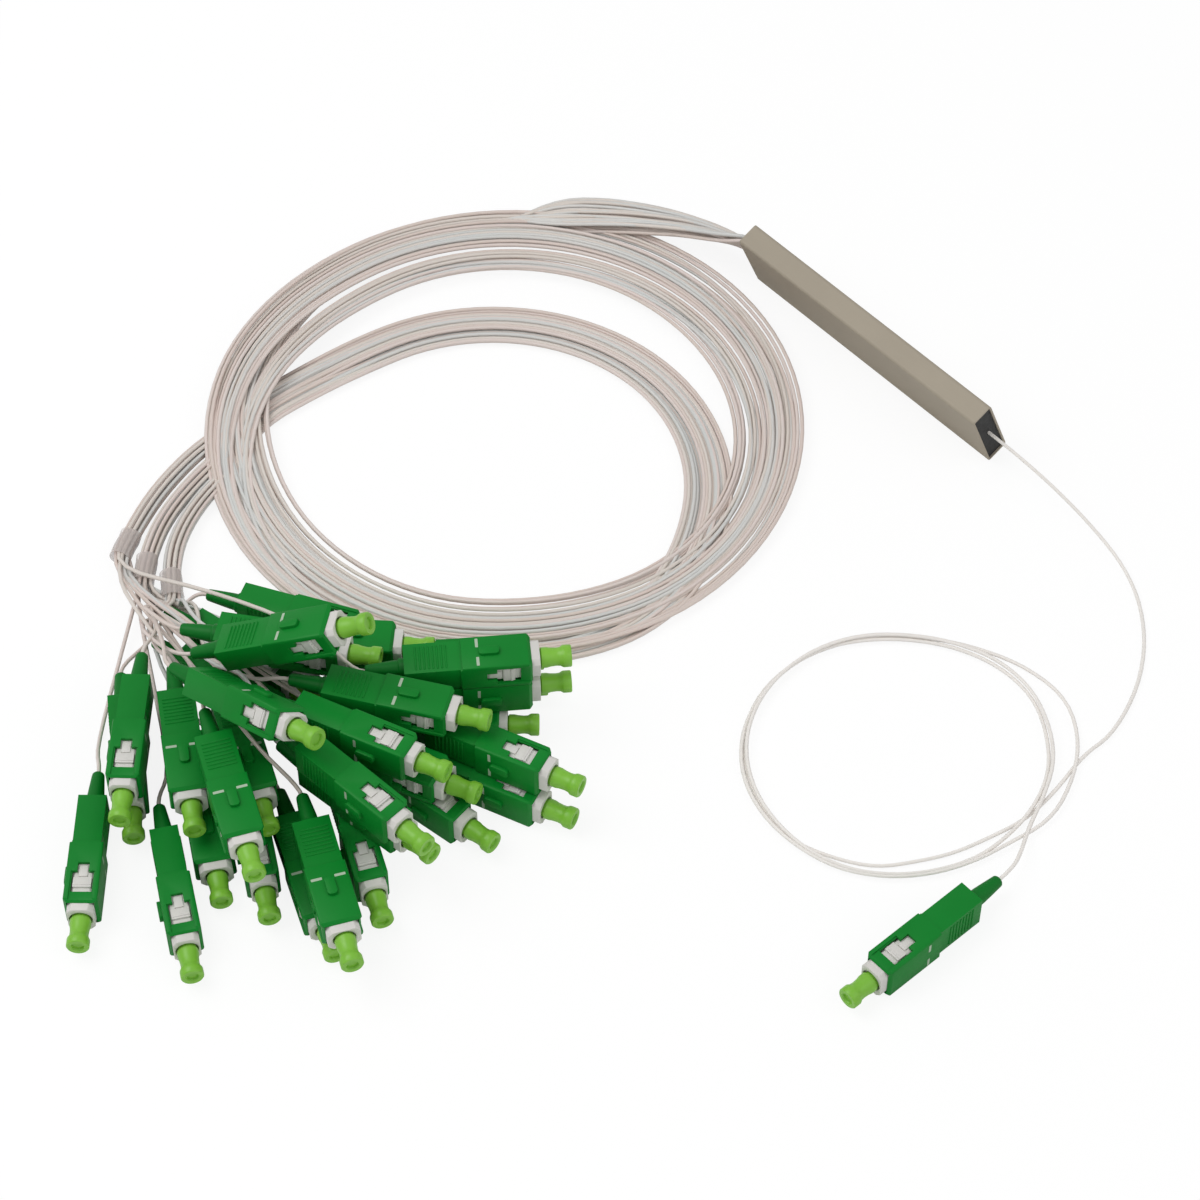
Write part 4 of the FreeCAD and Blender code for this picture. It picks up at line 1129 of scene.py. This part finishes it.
    def wrap(self, effects: SurfaceEffects) -> None:
        """Winds clear tape round each trunk where its last run starts.

        Args:
            effects: The shared node groups.
        """
        sleeves = []
        for number, route in self.trunks.items():
            start, end = Vector(route[-2]), Vector(route[-1])
            ahead = Vector((end.x - start.x, end.y - start.y, 0)).normalized()
            middle = start.lerp(end, self.tape_place)
            sleeve = added("sleeve", bpy.ops.mesh.primitive_cylinder_add, vertices=20, radius=self.tape_radius,
                           depth=self.tape_length, end_fill_type="NOTHING", rotation=(0, math.pi / 2, 0))
            bpy.ops.object.mode_set(mode="EDIT")
            bpy.ops.mesh.select_all(action="SELECT")
            bpy.ops.mesh.subdivide(number_cuts=3)
            bpy.ops.object.mode_set(mode="OBJECT")
            for point in sleeve.data.vertices:
                around = math.atan2(point.co.y, point.co.z)
                ripple = 1 + self.tape_ripple * math.sin(point.co.x * 2.1 + around * 3 + number)
                point.co.y *= ripple
                point.co.z *= ripple * self.tape_flat
            wall = sleeve.modifiers.new("wall", "SOLIDIFY")
            wall.thickness = self.tape_wall
            shape_with(sleeve, wall)
            bpy.ops.object.shade_smooth_by_angle(angle=math.radians(50))
            turn = Vector((1, 0, 0)).rotation_difference(ahead).to_matrix().to_4x4()
            sleeve.data.transform(Matrix.Scale(MM, 4) @ Matrix.Translation(middle) @ turn)
            sleeves.append(sleeve)
        wraps = joined("tape_sleeves", sleeves)
        dress(wraps, TAPE, effects)
        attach(wraps, "splitter")
        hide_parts("tape_wraps")


def lead_curve(name: str, points: list[Point], diameter: float, material: bpy.types.Material) -> Piece:
    """Makes one lead as a smooth tube along its route.

    Args:
        name: The object's name.
        points: The route, in millimetres.
        diameter: The lead's diameter, in millimetres.
        material: Its finish.

    Returns:
        The curve object.
    """
    curve = bpy.data.curves.new(name, "CURVE")
    curve.dimensions = "3D"
    curve.bevel_depth = diameter / 2 * MM
    curve.bevel_resolution = 1
    curve.resolution_u = 4
    curve.use_fill_caps = True
    spline = curve.splines.new("NURBS")
    spline.points.add(len(points) - 1)
    for target, point in zip(spline.points, points):
        target.co = (point[0] * MM, point[1] * MM, point[2] * MM, 1)
    spline.order_u = 3
    spline.use_endpoint_u = True
    curve.materials.append(material)
    lead = bpy.data.objects.new(name, curve)
    bpy.context.scene.collection.objects.link(lead)
    return lead


@dataclass
class InputLead:
    """The input lead: out of the module, round its own small coil and into the input plug."""

    diameter: float = 0.9
    centre: Span = (89.6, -76.5)
    angle_step: float = 18.0
    out: list[Point] = field(default_factory=lambda: [
        (39.6, 0, 10.4), (48, 0, 10.4), (60, 1.5, 7), (72, 2, 3.4), (83.5, 0.5, 1.2), (94, -4.5, 0.6),
        (104, -13.5, 0.6), (111.5, -25, 0.7), (116, -38, 0.9)])
    turns: list[Span] = field(default_factory=lambda: [
        (50, 40), (24, 32), (0, 27.6), (-30, 27.2), (-65, 31), (-95, 34.6), (-155, 36.6), (-225, 34.4), (-255, 36),
        (-285, 41), (-305, 39.6), (-335, 36), (-366, 31.2), (-395, 32), (-430, 34.4), (-490, 36.8), (-540, 35.6),
        (-586, 33.4), (-636, 34.4), (-670, 32.4), (-712, 30.4), (-745, 31.2), (-800, 34.2), (-860, 35.6),
        (-915, 35.2), (-950, 34), (-990, 35.2), (-1030, 33.4), (-1052, 32)])
    back: list[Point] = field(default_factory=lambda: [
        (121.4, -70, 1.4), (125.4, -76.6, 2.9), (127.8, -81.8, 4.4), (128, -86.4, 4.5)])

    def radius_at(self, degrees: float) -> float:
        """The coil's radius at an angle that runs down from turn to turn.

        Args:
            degrees: The angle.

        Returns:
            The radius, in millimetres.
        """
        for (before, low), (after, high) in zip(self.turns, self.turns[1:]):
            if degrees >= after:
                return low + (high - low) * eased(before - degrees, 0, before - after)
        return self.turns[-1][1]

    def points(self) -> list[Point]:
        """The lead's points from the seal to the boot.

        Returns:
            The points, in millimetres.
        """
        route = list(self.out)
        start, end = self.turns[0][0], self.turns[-1][0]
        count = math.ceil((start - end) / self.angle_step)
        for step in range(count + 1):
            degrees = start + (end - start) * step / count
            angle = math.radians(degrees)
            radius = self.radius_at(degrees)
            rise = 0.6 + 1.4 * step / count + 0.3 * math.sin(angle * 0.7)
            route.append((self.centre[0] + radius * math.cos(angle), self.centre[1] + radius * math.sin(angle),
                          max(0.55, rise)))
        return route + self.back

    def build(self, effects: SurfaceEffects, pieces: list[Piece]) -> None:
        """Args:
            effects: The shared node groups.
            pieces: The input plug's pieces; not used.
        """
        points = self.points()
        lead = lead_curve("input_lead_tube", points, self.diameter, INPUT_JACKET.material(effects))
        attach(lead, "splitter")
        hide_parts("input_lead", "input_coil", "input_tail")


# Heap of output plugs and the input plug

@dataclass
class PlugHeap:
    """The 32 output plugs, each lying in its place in the heap."""

    plug: PushPullPlug
    places: dict[int, PlugPlace] = field(default_factory=lambda: {
        number: PlugPlace(*row) for number, row in enumerate((
            (-7, -173.6, 33.5, 38, 26, 0), (18, -142, 21.9, 54, 0, 0), (18.5, -142.5, 13.6, 54), (10, -142.3, 4.5, 53),
            (14.5, -161.5, 22.3, 34, 0, 0), (15.8, -149.8, 4.5, 48), (-1, -188.6, 29.6, 9, 14, -40),
            (17.2, -173.2, 22.7, 22), (34, -150, 13.6, 22), (34.5, -152.5, 4.5, 22), (20.5, -168.3, 12.8, 24, 0, 0),
            (26.5, -165.3, 4.5, 10), (27.5, -182.3, 22.7, 5), (25, -180, 13.6, 8), (-20.5, -206, 13.6, -43),
            (-11, -199, 12.8, -31, 0, 0), (-23, -206.4, 4.5, -33), (10.8, -202.3, 22, -24, 0, 0),
            (-2, -189.4, 12.8, -24, 0, 0), (-6.2, -229.3, 4.5, -42), (12.8, -220.2, 4.5, -28),
            (12.2, -198.6, 4.5, -29), (1.6, -203.4, 3.7, -29, 0, 0), (27.3, -195.9, 3.7, -23, 0, 0),
            (36.8, -197.3, 12.8, -25, 0, 0), (28, -182.5, 4.5, -25), (-12, -156.5, 12.8, 45, 0, 0),
            (-14.6, -168.7, 20.5, 38, 0, 0), (-28, -154, 4.5, 30), (3.6, -137.9, 4.5, 52, 0, -90),
            (-22.5, -178, 4.5, 12), (-28, -170.4, 4.5, 12)), 1)})

    def build(self) -> dict[int, Piece]:
        """Copies the plug's template to every place.

        Returns:
            Each plug's piece, by number.
        """
        template = self.plug.whole()
        pieces = {}
        for number, place in self.places.items():
            piece = placed_copy(template, "plug_%02d" % number, place.in_metres())
            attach(piece, "splitter")
            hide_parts("output_connector_%02d" % number)
            pieces[number] = piece
        bpy.data.objects.remove(template, do_unlink=True)
        LOG.info("output plugs: %d", len(pieces))
        return pieces


@dataclass
class InputPlug:
    """The input plug, with its pieces apart so that each moves with its own body."""

    plug: PushPullPlug
    place: PlugPlace = field(default_factory=lambda: PlugPlace(128, -109, 4.5, -90))

    def build(self, frame: dict) -> list[Piece]:
        """Places the plug's outer pieces and gives all pieces on the lead.

        Args:
            frame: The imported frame, whose inner nodes stay.

        Returns:
            Every piece of the plug.
        """
        grip = joined("input_grip_shell", [placed_copy(self.plug.parts["grip"], "a", self.place.in_metres()),
                                           placed_copy(self.plug.parts["dashes"], "b", self.place.in_metres())])
        outer = {"grip": (grip, "grip", "input_grip", "green_grip")}
        for part, node, slot, body in (("frame", "input_plug_frame", "white_frame", "splitter"),
                                       ("cap", "input_dust_cap", "lime_cap", "cap"),
                                       ("boot", "input_boot", "green_boot", "splitter")):
            copy = placed_copy(self.plug.parts[part], node + "_form", self.place.in_metres())
            outer[part] = (copy, body, node, slot)
        for piece, body, node, slot in outer.values():
            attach(piece, body)
            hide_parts(node)
        inner = [frame["nodes"][name] for name in ("input_stop_ring", "input_ferrule", "ferrule_flange",
                                                   "ferrule_spring")]
        return [entry[0] for entry in outer.values()] + inner


@dataclass
class SplitterModule:
    """The steel module and its inner pieces, which keep their solids and get their finishes."""

    finishes: dict[str, Finish] = field(default_factory=lambda: {
        "module_tube": STEEL, "input_end_seal": POTTING, "output_end_seal": POTTING, "inner_case": STEEL,
        "case_boots": POTTING, "case_pads": TAPE, "plc_chip": SILICA, "input_fibre_array": SILICA,
        "output_fibre_array": SILICA, "input_bare_fibre": SILICA, "output_ribbon": SILICA,
        "input_stop_ring": BRASS, "input_ferrule": CERAMIC, "ferrule_flange": SPRING, "ferrule_spring": SPRING})

    def dress(self, frame: dict, effects: SurfaceEffects) -> None:
        """Gives each kept node its finish.

        Args:
            frame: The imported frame.
            effects: The shared node groups.
        """
        for name, finish in self.finishes.items():
            dress(frame["nodes"][name], finish, effects)
        LOG.info("dressed nodes: %d", len(self.finishes))


# Studio

@dataclass
class Studio:
    """Pale floor, soft lamps and the photograph's viewpoint."""

    target: Point = (10.6, -96.7, 0.0)
    camera_at: Point = (387.3, -430.8, 621.7)
    lens: float = 104.2
    floor_tone: float = 0.9
    floor_glow: float = 1.04
    floor_share: float = 0.84
    surround: float = 0.5

    def camera(self) -> None:
        """Sets the camera at the photograph's viewpoint."""
        data = bpy.data.cameras.new("camera")
        data.lens = self.lens
        data.sensor_width = 36
        data.clip_start = 0.01
        data.clip_end = 10
        camera = bpy.data.objects.new("camera", data)
        bpy.context.scene.collection.objects.link(camera)
        camera.location = Vector(self.camera_at) * MM
        camera.rotation_euler = (Vector(self.target) - Vector(self.camera_at)).to_track_quat("-Z", "Y").to_euler()
        bpy.context.scene.camera = camera

    def floor(self) -> None:
        """Lays the white floor, which shows white to the camera and keeps a soft shadow."""
        floor = added("floor", bpy.ops.mesh.primitive_plane_add, size=6, location=(0, -0.1, -0.00005))
        material = bpy.data.materials.new("floor")
        material.use_nodes = True
        tree = material.node_tree
        shader = tree.nodes["Principled BSDF"]
        tone = self.floor_tone
        set_inputs(shader, {"Base Color": (tone, tone, tone, 1), "Roughness": 0.9})
        glow = tree.nodes.new("ShaderNodeEmission")
        set_inputs(glow, {"Color": (1, 1, 1, 1), "Strength": self.floor_glow})
        paths = tree.nodes.new("ShaderNodeLightPath")
        seen = tree.nodes.new("ShaderNodeMath")
        seen.operation = "MULTIPLY"
        seen.inputs[1].default_value = self.floor_share
        mix = tree.nodes.new("ShaderNodeMixShader")
        link = tree.links.new
        link(paths.outputs["Is Camera Ray"], seen.inputs[0])
        link(seen.outputs[0], mix.inputs["Fac"])
        link(shader.outputs["BSDF"], mix.inputs[1])
        link(glow.outputs["Emission"], mix.inputs[2])
        link(mix.outputs["Shader"], tree.nodes["Material Output"].inputs["Surface"])
        floor.data.materials.append(material)

    def lamp(self, name: str, place: Point, size: float, power: float) -> None:
        """Adds one square soft lamp aimed at the part.

        Args:
            name: The lamp's name.
            place: Its place, in metres.
            size: Its side, in metres.
            power: Its power, in watts.
        """
        data = bpy.data.lights.new(name, "AREA")
        data.size = size
        data.energy = power
        lamp = bpy.data.objects.new(name, data)
        bpy.context.scene.collection.objects.link(lamp)
        lamp.location = place
        lamp.rotation_euler = (Vector((0, -0.1, 0)) - Vector(place)).to_track_quat("-Z", "Y").to_euler()

    def world(self) -> None:
        """Sets a plain bright surround."""
        world = bpy.data.worlds.new("surround")
        world.use_nodes = True
        set_inputs(world.node_tree.nodes["Background"], {"Color": (1, 1, 1, 1), "Strength": self.surround})
        bpy.context.scene.world = world

    def build(self) -> None:
        """Sets up the whole studio."""
        self.camera()
        self.floor()
        self.lamp("key_lamp", (-0.35, -0.5, 0.9), 0.7, 4.3)
        self.lamp("fill_lamp", (0.7, 0.1, 0.7), 0.9, 1.6)
        self.world()
        bpy.context.scene.view_settings.view_transform = "Standard"


def main() -> None:
    """Builds every sub-assembly in order."""
    logging.basicConfig(level=logging.INFO)
    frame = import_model()
    bpy.ops.object.select_all(action="DESELECT")
    Studio().build()
    effects = SurfaceEffects()
    SplitterModule().dress(frame, effects)
    plug = PushPullPlug()
    plug.build(effects)
    heap = PlugHeap(plug)
    plugs = heap.build()
    input_pieces = InputPlug(plug).build(frame)
    plug.discard()
    leads = OutputLeads()
    leads.build(LeadRouter(plug, heap.places), plugs, effects)
    leads.wrap(effects)
    InputLead().build(effects, input_pieces)


if __name__ == "__main__":
    main()
